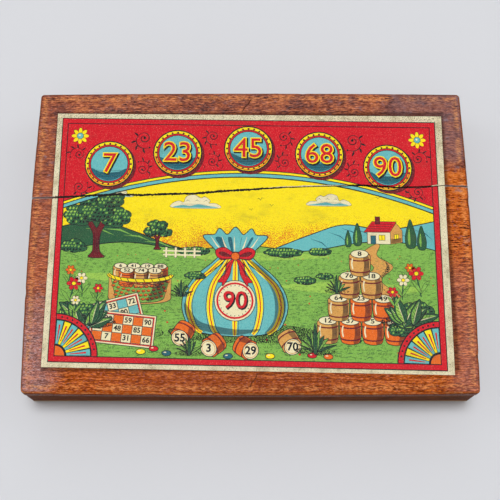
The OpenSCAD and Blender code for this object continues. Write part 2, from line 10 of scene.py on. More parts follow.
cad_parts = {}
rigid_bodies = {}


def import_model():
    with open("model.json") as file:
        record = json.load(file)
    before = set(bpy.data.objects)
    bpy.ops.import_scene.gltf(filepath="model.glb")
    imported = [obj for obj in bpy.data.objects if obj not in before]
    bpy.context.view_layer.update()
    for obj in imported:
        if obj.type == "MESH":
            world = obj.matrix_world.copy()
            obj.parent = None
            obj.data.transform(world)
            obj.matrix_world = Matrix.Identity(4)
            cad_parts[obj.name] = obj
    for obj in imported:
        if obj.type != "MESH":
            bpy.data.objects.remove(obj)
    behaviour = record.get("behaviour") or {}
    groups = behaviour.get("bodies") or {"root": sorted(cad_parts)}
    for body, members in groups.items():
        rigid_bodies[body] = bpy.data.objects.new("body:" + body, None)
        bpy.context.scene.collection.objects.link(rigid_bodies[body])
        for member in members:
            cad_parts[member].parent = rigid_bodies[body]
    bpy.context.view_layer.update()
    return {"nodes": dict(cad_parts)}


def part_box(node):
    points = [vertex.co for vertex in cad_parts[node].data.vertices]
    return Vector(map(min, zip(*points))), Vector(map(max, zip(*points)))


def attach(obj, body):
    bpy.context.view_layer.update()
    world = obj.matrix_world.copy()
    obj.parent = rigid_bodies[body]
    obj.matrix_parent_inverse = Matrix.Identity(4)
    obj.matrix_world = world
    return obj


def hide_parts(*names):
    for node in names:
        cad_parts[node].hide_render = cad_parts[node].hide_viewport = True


for startupObject in list(bpy.data.objects):
    bpy.data.objects.remove(startupObject)

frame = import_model()
nodes = frame["nodes"]
mm = 0.001
print("frame loaded:", len(nodes), "nodes")


# Camera, light and floor

view = {"place": (-0.0002, -0.1959, 0.6313), "tilt": 17.475, "lens": 70.06, "sensor": 36}
bpy.ops.object.camera_add(location=view["place"], rotation=(math.radians(view["tilt"]), 0, 0))
bpy.context.scene.camera = bpy.context.object
bpy.context.object.data.lens = view["lens"]
bpy.context.object.data.sensor_width = view["sensor"]

# the lamps stand where the flat lid doesn't mirror them to the camera
lamps = {
    "left": {"place": (-2.3, 0.6, 2.3), "size": 1.5, "power": 8},
    "right": {"place": (2.3, 0.9, 2.3), "size": 1.4, "power": 7},
    "back": {"place": (-0.3, 3.0, 2.3), "size": 1.6, "power": 6},
}
for lampName, lamp in lamps.items():
    bpy.ops.object.light_add(type="AREA", location=lamp["place"])
    lampObject = bpy.context.object
    lampObject.name = lampName + "_lamp"
    lampObject.data.size = lamp["size"]
    lampObject.data.energy = lamp["power"]
    lampObject.rotation_euler = Vector(lamp["place"]).to_track_quat("Z", "Y").to_euler()


def rgb(red, green, blue):
    # a colour as seen on screen, 0 to 255, as the linear one that Blender works in
    def linear(value):
        value /= 255
        return value / 12.92 if value <= 0.04045 else ((value + 0.055) / 1.055) ** 2.4
    return (linear(red), linear(green), linear(blue), 1)


class Wire:
    # a value in a material's node tree; sums and comparisons on it add Math nodes
    def __init__(self, shader, socket):
        self.shader, self.socket = shader, socket

    def math(self, operation, *others):
        return self.shader.node("Math", {"operation": operation}, dict(enumerate((self, *others))))

    def __add__(self, other):
        return self.math("ADD", other)

    def __sub__(self, other):
        return self.math("SUBTRACT", other)

    def __rsub__(self, other):
        return self.shader.node("Math", {"operation": "SUBTRACT"}, {0: other, 1: self})

    def __mul__(self, other):
        return self.math("MULTIPLY", other)

    def __truediv__(self, other):
        return self.math("DIVIDE", other)

    def __gt__(self, other):
        return self.math("GREATER_THAN", other)

    def __lt__(self, other):
        return self.math("LESS_THAN", other)

    def __abs__(self):
        return self.math("ABSOLUTE")

    __radd__ = __add__
    __rmul__ = __mul__

    def least(self, other):
        return self.math("MINIMUM", other)

    def most(self, other):
        return self.math("MAXIMUM", other)

    def between(self, low, high):
        # 0 up to low and 1 from high on, with a soft step between
        inputs = {"Value": self, "From Min": low, "From Max": high}
        return self.shader.node("MapRange", {"interpolation_type": "SMOOTHSTEP"}, inputs)


class Shader:
    # a material under construction, measured in millimetres of Object coordinates
    def __init__(self, name, **fixed):
        self.material = bpy.data.materials.new(name)
        self.begin(self.material)
        self.surface = self.tree.nodes["Principled BSDF"]
        for key, value in fixed.items():
            self.surface.inputs[key.replace("_", " ")].default_value = value
        self.coordinates = self.node("TexCoord", output="Object")
        self.place = self.node("VectorMath", {"operation": "SCALE"}, {0: self.coordinates, "Scale": 1000})

    def begin(self, owner):
        owner.use_nodes = True
        self.tree = owner.node_tree

    def node(self, kind, settings=None, inputs=None, output=0):
        made = self.tree.nodes.new("ShaderNode" + kind)
        for key, value in (settings or {}).items():
            if key == "stops":
                ramp = made.color_ramp
                while len(ramp.elements) < len(value):
                    ramp.elements.new(1)
                for element, (position, colour) in zip(ramp.elements, value):
                    element.position, element.color = position, colour
            elif key == "points":
                line = made.mapping.curves[0]
                while len(line.points) < len(value):
                    line.points.new(0.5, 0.5)
                for point, spot in zip(line.points, value):
                    point.location, point.handle_type = spot, "VECTOR"
                made.mapping.update()
            else:
                setattr(made, key, value)
        for key, value in (inputs or {}).items():
            self.plug(made.inputs[key], value)
        return Wire(self, made.outputs[output])

    def plug(self, socket, value):
        if isinstance(value, Wire):
            self.tree.links.new(value.socket, socket)
        else:
            socket.default_value = value

    def axes(self, vector=None):
        return [self.node("SeparateXYZ", None, {0: vector or self.place}, axis) for axis in "XYZ"]

    def stretched(self, size, stretch=(1, 1, 1), at=None):
        # the place measured in features of that size, longer along an axis by its stretch
        scale = [1 / (size * amount) for amount in stretch]
        return self.node("VectorMath", {"operation": "MULTIPLY"}, {0: at or self.place, 1: scale})

    def noise(self, size, stretch=(1, 1, 1), detail=2, rough=0.5, seed=0, at=None):
        inputs = {
            "Vector": self.stretched(size, stretch, at), "W": seed, "Scale": 1, "Detail": detail,
            "Roughness": rough,
        }
        return self.node("TexNoise", {"noise_dimensions": "4D"}, inputs)

    def cells(self, size, stretch=(1, 1, 1), output="Distance"):
        inputs = {"Vector": self.stretched(size, stretch), "Scale": 1}
        return self.node("TexVoronoi", None, inputs, output)

    def mix(self, share, first, second, blend="MIX"):
        # share of the second colour over the first
        settings = {"data_type": "RGBA", "blend_type": blend}
        return self.node("Mix", settings, {0: share, 6: first, 7: second}, 2)

    def ramp(self, value, *stops):
        return self.node("ValToRGB", {"stops": stops}, {0: value})

    def facing(self, axis):
        # how far the surface faces along an axis of its piece, from -1 to 1
        normal = self.node("TexCoord", output="Normal")
        return self.axes(normal)["XYZ".index(axis)]

    def finish(self, colour, roughness=None, height=None, depth=0.1, strength=1, alpha=None, metallic=None):
        self.plug(self.surface.inputs["Base Color"], colour)
        for key, value in {"Roughness": roughness, "Alpha": alpha, "Metallic": metallic}.items():
            if value is not None:
                self.plug(self.surface.inputs[key], value)
        if height is not None:
            inputs = {"Height": height, "Distance": depth * mm, "Strength": strength}
            self.plug(self.surface.inputs["Normal"], self.node("Bump", None, inputs))
        return self.material


background = {
    "shade": rgb(214, 215, 219), "ambient": 0.34,
    "softbox": {"tilt": 5, "halfWidth": 14, "halfDepth": 10, "strength": 21.5},
}


def makeFloor():
    bpy.ops.mesh.primitive_grid_add(x_subdivisions=8, y_subdivisions=8, size=14)
    floor = bpy.context.object
    floor.name = "floor"
    shader = Shader("floor paper", Roughness=0.9, Specular_IOR_Level=0.15)
    tone = shader.noise(60, detail=1)
    shade = background["shade"]
    paler = tuple(min(1, value * 1.012) for value in shade[:3]) + (1,)
    floor.data.materials.append(shader.finish(shader.mix(tone, shade, paler)))


class Sky(Shader):
    # the same tools for the world's own nodes
    def __init__(self, world):
        self.begin(world)


def makeWorld():
    # polish, metal and glass see the pale background as the camera does; the rest is soft light
    # with a large softbox in it, above and a little behind the box
    world = bpy.data.worlds.new("studio")
    bpy.context.scene.world = world
    sky = Sky(world)
    box = background["softbox"]
    x, y, z = sky.axes(sky.node("TexCoord", output="Generated"))
    tilt = math.radians(box["tilt"])
    across = x / math.sin(math.radians(box["halfWidth"]))
    along = (y * math.cos(tilt) - z * math.sin(tilt)) / math.sin(math.radians(box["halfDepth"]))
    inside = 1 - (across * across + along * along).between(0.3, 1)
    power = background["ambient"] + inside * (z > 0) * box["strength"]
    rays = [sky.node("LightPath", output="Is %s Ray" % ray) for ray in ("Camera", "Glossy", "Transmission")]
    seen = rays[0].most(rays[1]).most(rays[2])
    light = sky.node("Background", None, {"Color": (1, 1, 1, 1), "Strength": power})
    shown = sky.node("Background", None, {"Color": background["shade"], "Strength": 1})
    both = sky.node("MixShader", None, {0: seen, 1: light, 2: shown})
    sky.plug(sky.tree.nodes["World Output"].inputs["Surface"], both)


makeFloor()
makeWorld()
bpy.context.scene.view_settings.view_transform = "Standard"
print("camera, light and floor made")


# The drawstring: a twisted cotton cord whose loose loop lies on the top card. It is made before
# the rest, because its route has to pass first.

cord = {
    "mouth": (-105, -16.5), "rest": 21.65, "drop": 3.45, "diameter": 1.6, "strands": 3, "turn": 4.6,
    "steps": 9,
    # x and y from the mouth of the hem, and share of the drop
    "route": [
        (-1.2, 0, 1), (-1.2, -2.5, 1), (-1.6, -5.5, 0.7), (-2.6, -9, 0.25), (-4, -13, 0), (-5.5, -18, 0),
        (-6, -24, 0), (-4.5, -30, 0), (0, -35, 0), (6.5, -37.5, 0), (13.5, -37, 0), (19, -33, 0),
        (21.5, -27, 0), (20, -20.5, 0), (15, -15.5, 0), (9.5, -12, 0), (5, -9, 0.2), (2.2, -6, 0.7),
        (1.2, -3, 1), (1.2, 0, 1),
    ],
}


def softStep(a, b, c, d, t):
    # the soft line through four points, at a share of the way from the second to the third
    square, cube = 2 * a - 5 * b + 4 * c - d, 3 * b - a - 3 * c + d
    return 0.5 * (2 * b + (c - a) * t + square * t ** 2 + cube * t ** 3)


def smoothRoute(points, steps):
    last = len(points) - 1
    made = []
    for i in range(last):
        nearby = [Vector(points[min(max(i + k, 0), last)]) for k in (-1, 0, 1, 2)]
        made += [softStep(*nearby, s / steps) for s in range(steps)]
    return made + [Vector(points[last])]


def selectOnly(piece):
    bpy.ops.object.select_all(action="DESELECT")
    piece.select_set(True)
    bpy.context.view_layer.objects.active = piece


def turnOutwards():
    # in edit mode: the face normals of the whole piece turn out, and edit mode ends
    bpy.ops.mesh.select_all(action="SELECT")
    bpy.ops.mesh.normals_make_consistent(inside=False)
    bpy.ops.object.mode_set(mode="OBJECT")


def makeSoftPiece(name, vertices, faces, mapName, places):
    # a smooth mesh with a map of each vertex's place along the cord or on the cloth
    mesh = bpy.data.meshes.new(name)
    mesh.from_pydata(vertices, [], faces)
    uv = mesh.uv_layers.new(name=mapName)
    for loop in mesh.loops:
        uv.data[loop.index].uv = places[loop.vertex_index]
    piece = bpy.data.objects.new(name, mesh)
    bpy.context.collection.objects.link(piece)
    selectOnly(piece)
    bpy.ops.object.mode_set(mode="EDIT")
    turnOutwards()
    bpy.ops.object.shade_smooth()
    return piece


def makeCord():
    x, y = cord["mouth"]
    rest, drop = cord["rest"], cord["drop"]
    points = [((x + px) * mm, (y + py) * mm, (rest + share * drop) * mm) for px, py, share in cord["route"]]
    line = smoothRoute(points, cord["steps"])
    radius, strands, sides = cord["diameter"] / 2 * mm, cord["strands"], 18
    vertices, places, travelled = [], [], 0
    for i, middle in enumerate(line):
        ahead = (line[min(i + 1, len(line) - 1)] - line[max(i - 1, 0)]).normalized()
        side = ahead.cross(Vector((0, 0, 1))).normalized()
        up = side.cross(ahead)
        travelled += (middle - line[i - 1]).length if i else 0
        for k in range(sides):
            angle = 2 * math.pi * k / sides
            lobe = strands * (angle - 2 * math.pi * travelled / mm / cord["turn"])
            reach = radius * (0.76 + 0.24 * abs(math.cos(lobe / 2)) ** 0.7)
            vertices.append(middle + reach * (math.cos(angle) * side + math.sin(angle) * up))
            places.append((travelled / mm, k / sides))
    count = len(line)
    faces = []
    for i in range(count - 1):
        for k in range(sides):
            a, b = i * sides + k, i * sides + (k + 1) % sides
            faces.append((a, a + sides, b + sides, b))
    faces += [tuple(range(sides)), tuple(range(count * sides - 1, (count - 1) * sides - 1, -1))]
    piece = makeSoftPiece("drawstring_cord", vertices, faces, "cord", places)
    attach(piece, "base")
    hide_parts("drawstring")
    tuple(points[0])
    print("drawstring made:", round(travelled / mm), "mm long")
    return piece


def makeCordCotton():
    shader = Shader("twisted cotton cord", Roughness=0.8, Specular_IOR_Level=0.2, Sheen_Weight=0.2)
    along, round = shader.axes(shader.node("UVMap", {"uv_map": "cord"}))[:2]
    yarn = ((along * 4.2 + round * 12) * math.pi).math("SINE") * 0.5 + 0.5
    soil = shader.noise(4, detail=3, seed=8).between(0.45, 0.7)
    colour = shader.mix(yarn, rgb(196, 180, 148), rgb(232, 222, 198))
    colour = shader.mix(soil * 0.45, colour, rgb(150, 124, 90))
    return shader.finish(colour, 0.8, yarn, depth=0.06)


makeCord().data.materials.append(makeCordCotton())


# Places taken from the frame, in millimetres

def corners(nodeName):
    low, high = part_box(nodeName)
    return low / mm, high / mm


lidLow, lidHigh = corners("lid_board")
baseLow, baseHigh = corners("bottom_board")
bayLow, bayHigh = corners("card_divider")
wallThickness = 9.5
innerHalfWidth = baseHigh.x - wallThickness
innerHalfDepth = baseHigh.y - wallThickness

label = {
    "width": 255, "depth": 172, "thickness": 0.3, "margin": 4.2, "line": 0.55, "band": 3.1,
    # corners of the printed frame: front left, front right, back right, back left
    "frame": [(-125.2, -81.7), (121.5, -87.5), (122.8, 79.7), (-125, 83)],
}
labelTop = lidHigh.z + label["thickness"]

# the lid's ends, front and back bow out between the corners, by these amounts
bows = {"ends": 1.6, "long": 1}

# the crack along the lid, as shares of its width and depth, with its width in millimetres
crack = {
    "path": [
        (-0.52, 0.128), (-0.422, 0.131), (-0.364, 0.136), (-0.305, 0.14), (-0.246, 0.138), (-0.187, 0.142),
        (-0.128, 0.143), (-0.069, 0.151), (0, 0.157), (0.079, 0.164), (0.167, 0.168), (0.255, 0.169),
        (0.334, 0.162), (0.403, 0.164), (0.442, 0.171), (0.52, 0.166),
    ],
    "dark": 0.85, "frayed": 0.85,
    # the path's range across the lid and up it
    "start": -0.52, "span": 1.04, "low": 0.12, "rise": 0.06,
}


def crackMarks(shader, x, y):
    # the side of the crack that a place is on, in millimetres, where its gap is painted dark as shade, and
    # where its edge is frayed
    width, depth = lidHigh.x - lidLow.x, lidHigh.y - lidLow.y
    start, span, low, rise = [crack[name] for name in ("start", "span", "low", "rise")]
    points = [((px - start) / span, (py - low) / rise) for px, py in crack["path"]]
    across = shader.node("FloatCurve", {"points": points}, {"Value": (x / width - start) / span})
    side = y - (across * rise + low) * depth
    fray = shader.noise(0.6, (2.5, 1, 1), detail=2, seed=21)
    rough = shader.noise(5, (2, 1, 1), detail=3, seed=22)
    leftward = 1 - x.between(-10, 40)
    # the crack's gap, painted dark as shade
    dark = abs(side) < crack["dark"] * (0.35 + leftward * 0.55) * (fray * 2.4 - 0.2)
    frayed = abs(side - 0.35) < crack["frayed"] * (1 - leftward * 0.85) * (fray + rough - 0.35)
    return side, dark, frayed


# The lid's board, with its worn round edges, the crack and the hinge seats

board = {
    "round": 2.1, "roundSteps": 8, "foot": 0.5, "footSteps": 2, "corner": 2.4, "cornerSteps": 6, "pitch": 2,
    "flat": 0.2, "wear": 0.12, "crackDepth": 2.6, "crackPitch": 0.7, "crackWidth": 0.62, "ragged": 0.5,
    "plateSeat": 0.9, "knuckleSeat": 1.6, "knuckleInset": 1.3, "knuckleReach": 1.6,
    "seatGap": 0.08, "smooth": 35,
    # knocks on the edges: x and y, reach and depth
    "knocks": [
        (-61, -102, 4.5, 0.45), (88, -102, 3.5, 0.35), (22, -102, 3, 0.25), (142, 24, 4, 0.4),
        (141, -78, 5, 0.4),
        (-142, -37, 4, 0.35), (-141, 66, 3.5, 0.3), (35, 102, 4, 0.3), (-141, -101, 3, 0.25),
    ],
}


def selectFaces(piece, chosen):
    # in edit mode, only the faces that pass
    bpy.ops.mesh.select_all(action="DESELECT")
    bpy.ops.object.mode_set(mode="OBJECT")
    for face in piece.data.polygons:
        face.select = chosen(face)
    bpy.ops.object.mode_set(mode="EDIT")


def roundOver(radius, steps):
    # rounds the edge of the selected flat face by insets along a quarter circle
    for i in range(steps):
        a, b = [math.pi / 2 * k / steps for k in (i, i + 1)]
        bpy.ops.mesh.inset(thickness=radius * (math.cos(a) - math.cos(b)) * mm,
                           depth=radius * (math.sin(b) - math.sin(a)) * mm)


def crackLine(x):
    # the crack's middle at a place across the lid
    width, depth = lidHigh.x - lidLow.x, lidHigh.y - lidLow.y
    for (ax, ay), (bx, by) in zip(crack["path"], crack["path"][1:]):
        if x <= bx * width or (bx, by) == crack["path"][-1]:
            return (ay + (by - ay) * (x / width - ax) / (bx - ax)) * depth


def makeCrackCutter():
    reach = (lidHigh.x - lidLow.x) * 0.515
    count = round(2 * reach / board["crackPitch"])
    bpy.ops.mesh.primitive_grid_add(x_subdivisions=count, y_subdivisions=1, size=1)
    cutter = bpy.context.object
    for vertex in cutter.data.vertices:
        x = vertex.co.x * 2 * reach
        side = 1 if vertex.co.y > 0 else -1
        tear = mathutils.noise.noise(Vector((x * 0.5, side * 7, 0))) * board["ragged"]
        tear += mathutils.noise.noise(Vector((x * 1.3, side * 9, 4))) * board["ragged"] * 0.5
        y = crackLine(x) + side * max(0.12, board["crackWidth"] / 2 + tear * 0.5)
        vertex.co = (x * mm, y * mm, (lidHigh.z - board["crackDepth"]) * mm)
    bpy.ops.object.mode_set(mode="EDIT")
    bpy.ops.mesh.select_all(action="SELECT")
    bpy.ops.mesh.extrude_region_move(TRANSFORM_OT_translate={"value": (0, 0, (board["crackDepth"] + 1) * mm)})
    turnOutwards()
    return cutter


def makeSeatCutters():
    # a shallow seat for each hinge's plate, and a deeper one for its turning knuckles
    made = []
    for leafName in ("hinge_lid_leaf_left", "hinge_lid_leaf_right"):
        low, high = corners(leafName)
        gap = board["seatGap"]
        for start, rise in ((low.y - gap, board["plateSeat"]),
                            (high.y - board["knuckleInset"] - board["knuckleReach"], board["knuckleSeat"])):
            end, floor = lidHigh.y + 2, lidLow.z - 2
            size = ((high.x - low.x + 2 * gap) * mm, (end - start) * mm, (lidLow.z + rise - floor) * mm)
            middle = ((low.x + high.x) / 2 * mm, (start + end) / 2 * mm, (floor + lidLow.z + rise) / 2 * mm)
            bpy.ops.mesh.primitive_cube_add(size=1, location=middle, scale=size)
            made.append(bpy.context.object)
    return made


def wearEdges(mesh):
    # the rounded edges are a little uneven, with knocks; the flat top and the underside stay flat
    for vertex in mesh.vertices:
        x, y, z = vertex.co / mm
        if z > lidHigh.z - 0.02 or z < lidLow.z + board["foot"] / 2:
            continue
        slow = mathutils.noise.noise(Vector((x, y, z)) * 0.06)
        quick = mathutils.noise.noise(Vector((x, y, z)) * 0.31 + Vector((5, 5, 5)))
        depth = (abs(slow) + quick * 0.5 + 0.2) * board["wear"]
        for knockX, knockY, reach, dent in board["knocks"]:
            near = 1 - math.hypot(x - knockX, y - knockY) / reach
            if near > 0 and z > lidLow.z + 3:
                depth += dent * near * near * (3 - 2 * near)
        vertex.co -= vertex.normal * max(0, depth) * mm


def boardOutline():
    # the lid seen from above: round corners, and sides that bow out a little
    halfX, halfY, radius = lidHigh.x, lidHigh.y, board["corner"]
    points = []
    for signX, signY, start in ((1, -1, -90), (1, 1, 0), (-1, 1, 90), (-1, -1, 180)):
        for i in range(board["cornerSteps"] + 1):
            angle = math.radians(start + 90 * i / board["cornerSteps"])
            points.append(Vector((signX * (halfX - radius) + radius * math.cos(angle),
                                  signY * (halfY - radius) + radius * math.sin(angle))))
    filled = []
    for a, b in zip(points, points[1:] + points[:1]):
        count = max(1, round((b - a).length / board["pitch"]))
        filled += [a.lerp(b, k / count) for k in range(count)]
    return [Vector((p.x * (1 - bows["ends"] / halfX * (p.y / halfY) ** 2),
                    p.y * (1 - bows["long"] / halfY * (p.x / halfX) ** 2))) for p in filled]


def makeBoard():
    outline, height = boardOutline(), lidHigh.z - lidLow.z
    bpy.ops.object.select_all(action="DESELECT")
    bpy.ops.mesh.primitive_circle_add(vertices=len(outline), fill_type="NGON")
    piece = bpy.context.object
    piece.name = "lid_board_worn"
    for vertex, spot in zip(piece.data.vertices, outline):
        vertex.co = (spot.x * mm, spot.y * mm, (lidLow.z + board["foot"]) * mm)
    bpy.ops.object.mode_set(mode="EDIT")
    bpy.ops.mesh.select_mode(type="FACE")
    bpy.ops.mesh.select_all(action="SELECT")
    rise = height - board["foot"] - board["round"]
    bpy.ops.mesh.extrude_region_move(TRANSFORM_OT_translate={"value": (0, 0, rise * mm)})
    bpy.ops.mesh.select_all(action="SELECT")
    bpy.ops.mesh.normals_make_consistent(inside=False)
    selectFaces(piece, lambda face: face.normal.z > 0.9)
    roundOver(board["round"], board["roundSteps"])
    bpy.ops.mesh.inset(thickness=board["flat"] * mm)
    selectFaces(piece, lambda face: face.normal.z < -0.9)
    roundOver(board["foot"], board["footSteps"])
    bpy.ops.mesh.inset(thickness=board["flat"] * mm)
    bpy.ops.object.mode_set(mode="OBJECT")
    wearEdges(piece.data)
    for cutter in [makeCrackCutter()] + makeSeatCutters():
        cut = piece.modifiers.new("cut", "BOOLEAN")
        cut.operation, cut.solver, cut.object = "DIFFERENCE", "EXACT", cutter
        bpy.context.view_layer.objects.active = piece
        bpy.ops.object.modifier_apply(modifier="cut")
        bpy.data.objects.remove(cutter)
    selectOnly(piece)
    bpy.ops.object.shade_smooth_by_angle(angle=math.radians(board["smooth"]))
    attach(piece, "lid")
    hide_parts("lid_board")
    print("lid board made:", len(piece.data.polygons), "faces")
    return piece


# Wood, brass and other finishes of the construction

# the lid's tones: the pale purple-grey one is a painted sheen, the light orange one a painted highlight, the
# edge tone also paints shade on the lid's sides, the dark dirt tone also paints shade by the label, and the
# pale crack tone is dust with painted light
lidTones = {
    "dark": rgb(44, 14, 5), "middle": rgb(142, 62, 16), "light": rgb(226, 128, 50),
    "orange": rgb(200, 88, 12), "paintedSheen": rgb(196, 172, 178), "violet": rgb(84, 46, 46),
    "grey": rgb(128, 114, 124), "arris": rgb(158, 70, 18), "edge": rgb(54, 22, 8), "dirtAndShade": rgb(44, 18, 10),
    "dustAndLight": rgb(168, 154, 138), "paintedHighlight": rgb(236, 160, 92), "deep": rgb(124, 46, 2),
}
# old bruises across the grain: middle, half length and the angle that each runs at
scars = [((-2.4, 92.4), 5.6, 54), ((2, -93.2), 4.8, 58)]


def bruise(x, y):
    marks = None
    for (middleX, middleY), half, angle in scars:
        c, s = math.cos(math.radians(angle)), math.sin(math.radians(angle))
        along = (x - middleX) * c + (y - middleY) * s
        across = (y - middleY) * c - (x - middleX) * s + along.math("SINE") * 0.2
        mark = (1 - abs(across).between(0.15, 0.6)) * (abs(along) < half)
        marks = mark if marks is None else marks.most(mark)
    return marks


def makeLidFinish():
    shader = Shader("worn lid polish", IOR=1.35, Specular_IOR_Level=0.02, Coat_Roughness=0.16)
    x, y, z = shader.axes()
    drift = shader.noise(30, detail=1, seed=1)
    grainPlace = shader.node("CombineXYZ", None, {0: x, 1: y + drift * 3 + x * 0.008, 2: z})
    streak = shader.noise(1, (32, 1, 1), detail=2, rough=0.6, at=grainPlace)
    fleck = shader.noise(0.55, (4.5, 1, 1), detail=1, rough=0.7, seed=3, at=grainPlace)
    dash = shader.noise(0.6, (7, 1, 1), detail=1, seed=5, at=grainPlace)
    broad = shader.noise(26, (1.6, 1, 1), detail=3, rough=0.6, seed=8)
    blotch = shader.noise(6, (1.6, 1, 1), detail=4, rough=0.65, seed=11)
    patch = shader.noise(5, (1.3, 1, 1), detail=3, rough=0.7, seed=12)

    tones = lidTones
    back = y.between(-30, 60)
    lines = ((fleck - 0.5) * 2.6 + (streak - 0.5) * 1.6) * (1 - back * 0.4)
    grain = lines + (blotch - 0.5) * (0.6 + back * 0.9) + 0.5
    colour = shader.ramp(grain, (0.1, tones["dark"]), (0.5, tones["middle"]), (0.92, tones["light"]))
    # orange polish at the front and the right, with darker patches
    stray = (broad - 0.5) * 40 + (blotch - 0.5) * 18
    warm = (abs(x - 20) * 0.004 - y * 0.005 + broad * 1.1 - 0.4).between(0, 1)
    colour = shader.mix(warm * 0.3, colour, tones["orange"])
    colour = shader.mix(blotch.between(0.52, 0.74) * 0.3, colour, tones["dark"])
    colour = shader.mix((1 - dash.between(0.34, 0.4)) * 0.65, colour, tones["dark"])
    deep = (1 - abs(x + 8).between(30, 100)) * (stray - y).between(56, 86)
    colour = shader.mix(deep * 0.34, colour, tones["deep"])
    # the polish has a painted sheen, a pale reflection of the light that grows away from the front and is
    # strongest at two pale corners; it is dull and violet at the back right
    dull = (x + stray).between(78, 92) * (y + stray * 0.4).between(50, 56)
    rightSide = (x + stray * 0.2).between(120, 126)
    bright = rightSide * (1 - (y + stray * 0.3).between(44, 52)) * (y + stray).between(-30, 0)
    leftEnd = (stray * 0.4 - x).between(112, 132) * (stray * 0.5 - y).between(16, 66)
    rightEnd = (x + stray * 0.4).between(116, 134) * (stray - y).between(-10, 70)
    # painted sheen: the share of pale reflected light laid into the colour
    sheenShare = (y + stray * 0.5).between(-90, -60) * 0.1 + (streak - 0.5) * 0.2
    sheenShare = sheenShare.most(leftEnd * 0.28).most(rightEnd * 0.15).most(dull * 0.16) * (1 - bright * 0.9)
    lively = shader.ramp(grain, (0.16, tones["dark"]), (0.4, tones["orange"]), (0.76, tones["light"]))
    colour = shader.mix(bright * 0.7, colour, lively)
    colour = shader.mix(leftEnd * (blotch > 0.5) * 0.4, colour, tones["dark"])
    colour = shader.mix(dull * 0.5, colour, tones["violet"])
    # the painted sheen laid over the wood
    colour = shader.mix(sheenShare + sheenShare * (fleck - 0.5) * 3, colour, tones["paintedSheen"])
    # pale flecks of painted glint, and dark scuffed flecks
    glintAndScuff = shader.noise(0.6, (2.4, 1, 1), detail=1, rough=0.7, seed=15, at=grainPlace)
    colour = shader.mix(glintAndScuff.between(0.58, 0.66) * (0.12 + leftEnd * 0.5), colour, tones["paintedSheen"])
    colour = shader.mix((1 - glintAndScuff.between(0.34, 0.42)) * (0.25 + leftEnd * 0.45), colour, tones["dark"])
    ends = (abs(x) > 126) * (y + stray).between(-30, 10)
    mould = (patch.between(0.56, 0.64) * fleck.between(0.4, 0.54)) * ends.most((y > 84) * 0.8)
    colour = shader.mix(mould * 0.6, colour, tones["grey"])
    # the rounded edges: a lighter band of painted highlight, then smooth dark orange, painted darker as shade
    # away from the front, a thin painted highlight along the arris, then the side painted dark as shade
    halfWidth = lidHigh.x - y * y * (bows["ends"] / lidHigh.y ** 2)
    halfDepth = lidHigh.y - x * x * (bows["long"] / lidHigh.x ** 2)
    inwards = (halfWidth - abs(x)).least(halfDepth - abs(y))
    # painted highlight: a lighter band where the top begins to round over
    edgeHighlight = inwards.between(2.2, 3.4) * (1 - inwards.between(4, 7)) * blotch.between(0.34, 0.54)
    colour = shader.mix(edgeHighlight * fleck.between(0.4, 0.6) * 0.5, colour, tones["paintedHighlight"])
    drop = lidHigh.z - z
    arris = drop.between(0.05, 0.4)
    notFront = y.between(-99, -96)
    smoothTone = shader.mix(streak.between(0.36, 0.62), tones["edge"], tones["arris"])
    # painted shade: the arris is darker at the back and the ends than at the front
    smoothTone = shader.mix(notFront * 0.6, smoothTone, tones["edge"])
    colour = shader.mix(arris * 0.85, colour, smoothTone)
    # painted highlight: a thin bright line along the arris, strongest at the front
    worn = drop.between(0.2, 0.45) * (1 - drop.between(0.9, 1.4))
    worn = worn * (blotch * 1.4 + streak * 1.2 - 0.7).between(0, 1)
    arrisHighlightTone = shader.mix(fleck.between(0.42, 0.6), tones["orange"], tones["paintedHighlight"])
    colour = shader.mix(worn * (0.75 - notFront * 0.5), colour, arrisHighlightTone)
    # painted shade: the lid's side is darker below the round
    sideTone = shader.mix((streak * 0.6 + fleck * 0.4).between(0.4, 0.62), tones["edge"], tones["middle"])
    colour = shader.mix(drop.between(1.3, 2.1) * 0.85, colour, sideTone)
    # dirt with painted shade along the label's edge, and dirt in the bruises
    labelGap = (abs(x) - label["width"] / 2).most(abs(y) - label["depth"] / 2)
    # a dark band along the label's edge, partly dirt and partly painted shade
    grime = (1 - labelGap.between(0.3, 2.6)) * (blotch + 0.35)
    colour = shader.mix((grime * 0.75).most(bruise(x, y) * 0.7), colour, tones["dirtAndShade"])
    # raw wood underneath; in the crack, painted shade near-black under the label and pale dust with painted
    # light at the ends
    under = shader.facing("Z") < -0.6
    raw = shader.mix((streak * 0.8 + fleck * 0.2).between(0.3, 0.7), rgb(160, 110, 68), rgb(206, 160, 108))
    raw = shader.mix(blotch.between(0.45, 0.75) * 0.5, raw, rgb(128, 88, 58))
    raw = shader.mix((dash < 0.4) * 0.35, raw, tones["dark"])
    colour = shader.mix(under, colour, raw)
    fromCrack = abs(crackMarks(shader, x, y)[0])
    inCrack = (fromCrack < 0.7) * (drop > 0.08) * (drop < board["crackDepth"] + 0.6) * (inwards > 0.4)
    # pale dust with painted light on and round the crack at the ends
    crackDustAndLight = (fromCrack < 0.25 + fleck * 0.8) * (abs(x) > 127) * (drop < 4)
    dustAndLight = shader.mix(fleck.between(0.4, 0.6), tones["dustAndLight"], tones["grey"])
    # the crack's inside: near-black painted shade under the label, pale dust with painted light at the ends
    colour = shader.mix(inCrack, colour, shader.mix(abs(x).between(124, 128), rgb(30, 22, 18), dustAndLight))
    colour = shader.mix(crackDustAndLight * 0.8, colour, dustAndLight)

    shader.plug(shader.surface.inputs["Coat Weight"], 0.012 + arris * (1 - drop.between(0.8, 1.5)) * 0.15)
    roughness = 0.36 + dull * 0.2 + (fleck - 0.5) * 0.3 + under * 0.4 - arris * 0.08
    height = streak * 0.4 + fleck * 0.4 - (dash < 0.36) * 0.5 + blotch * 0.5
    return shader.finish(colour, roughness, height, depth=0.05)


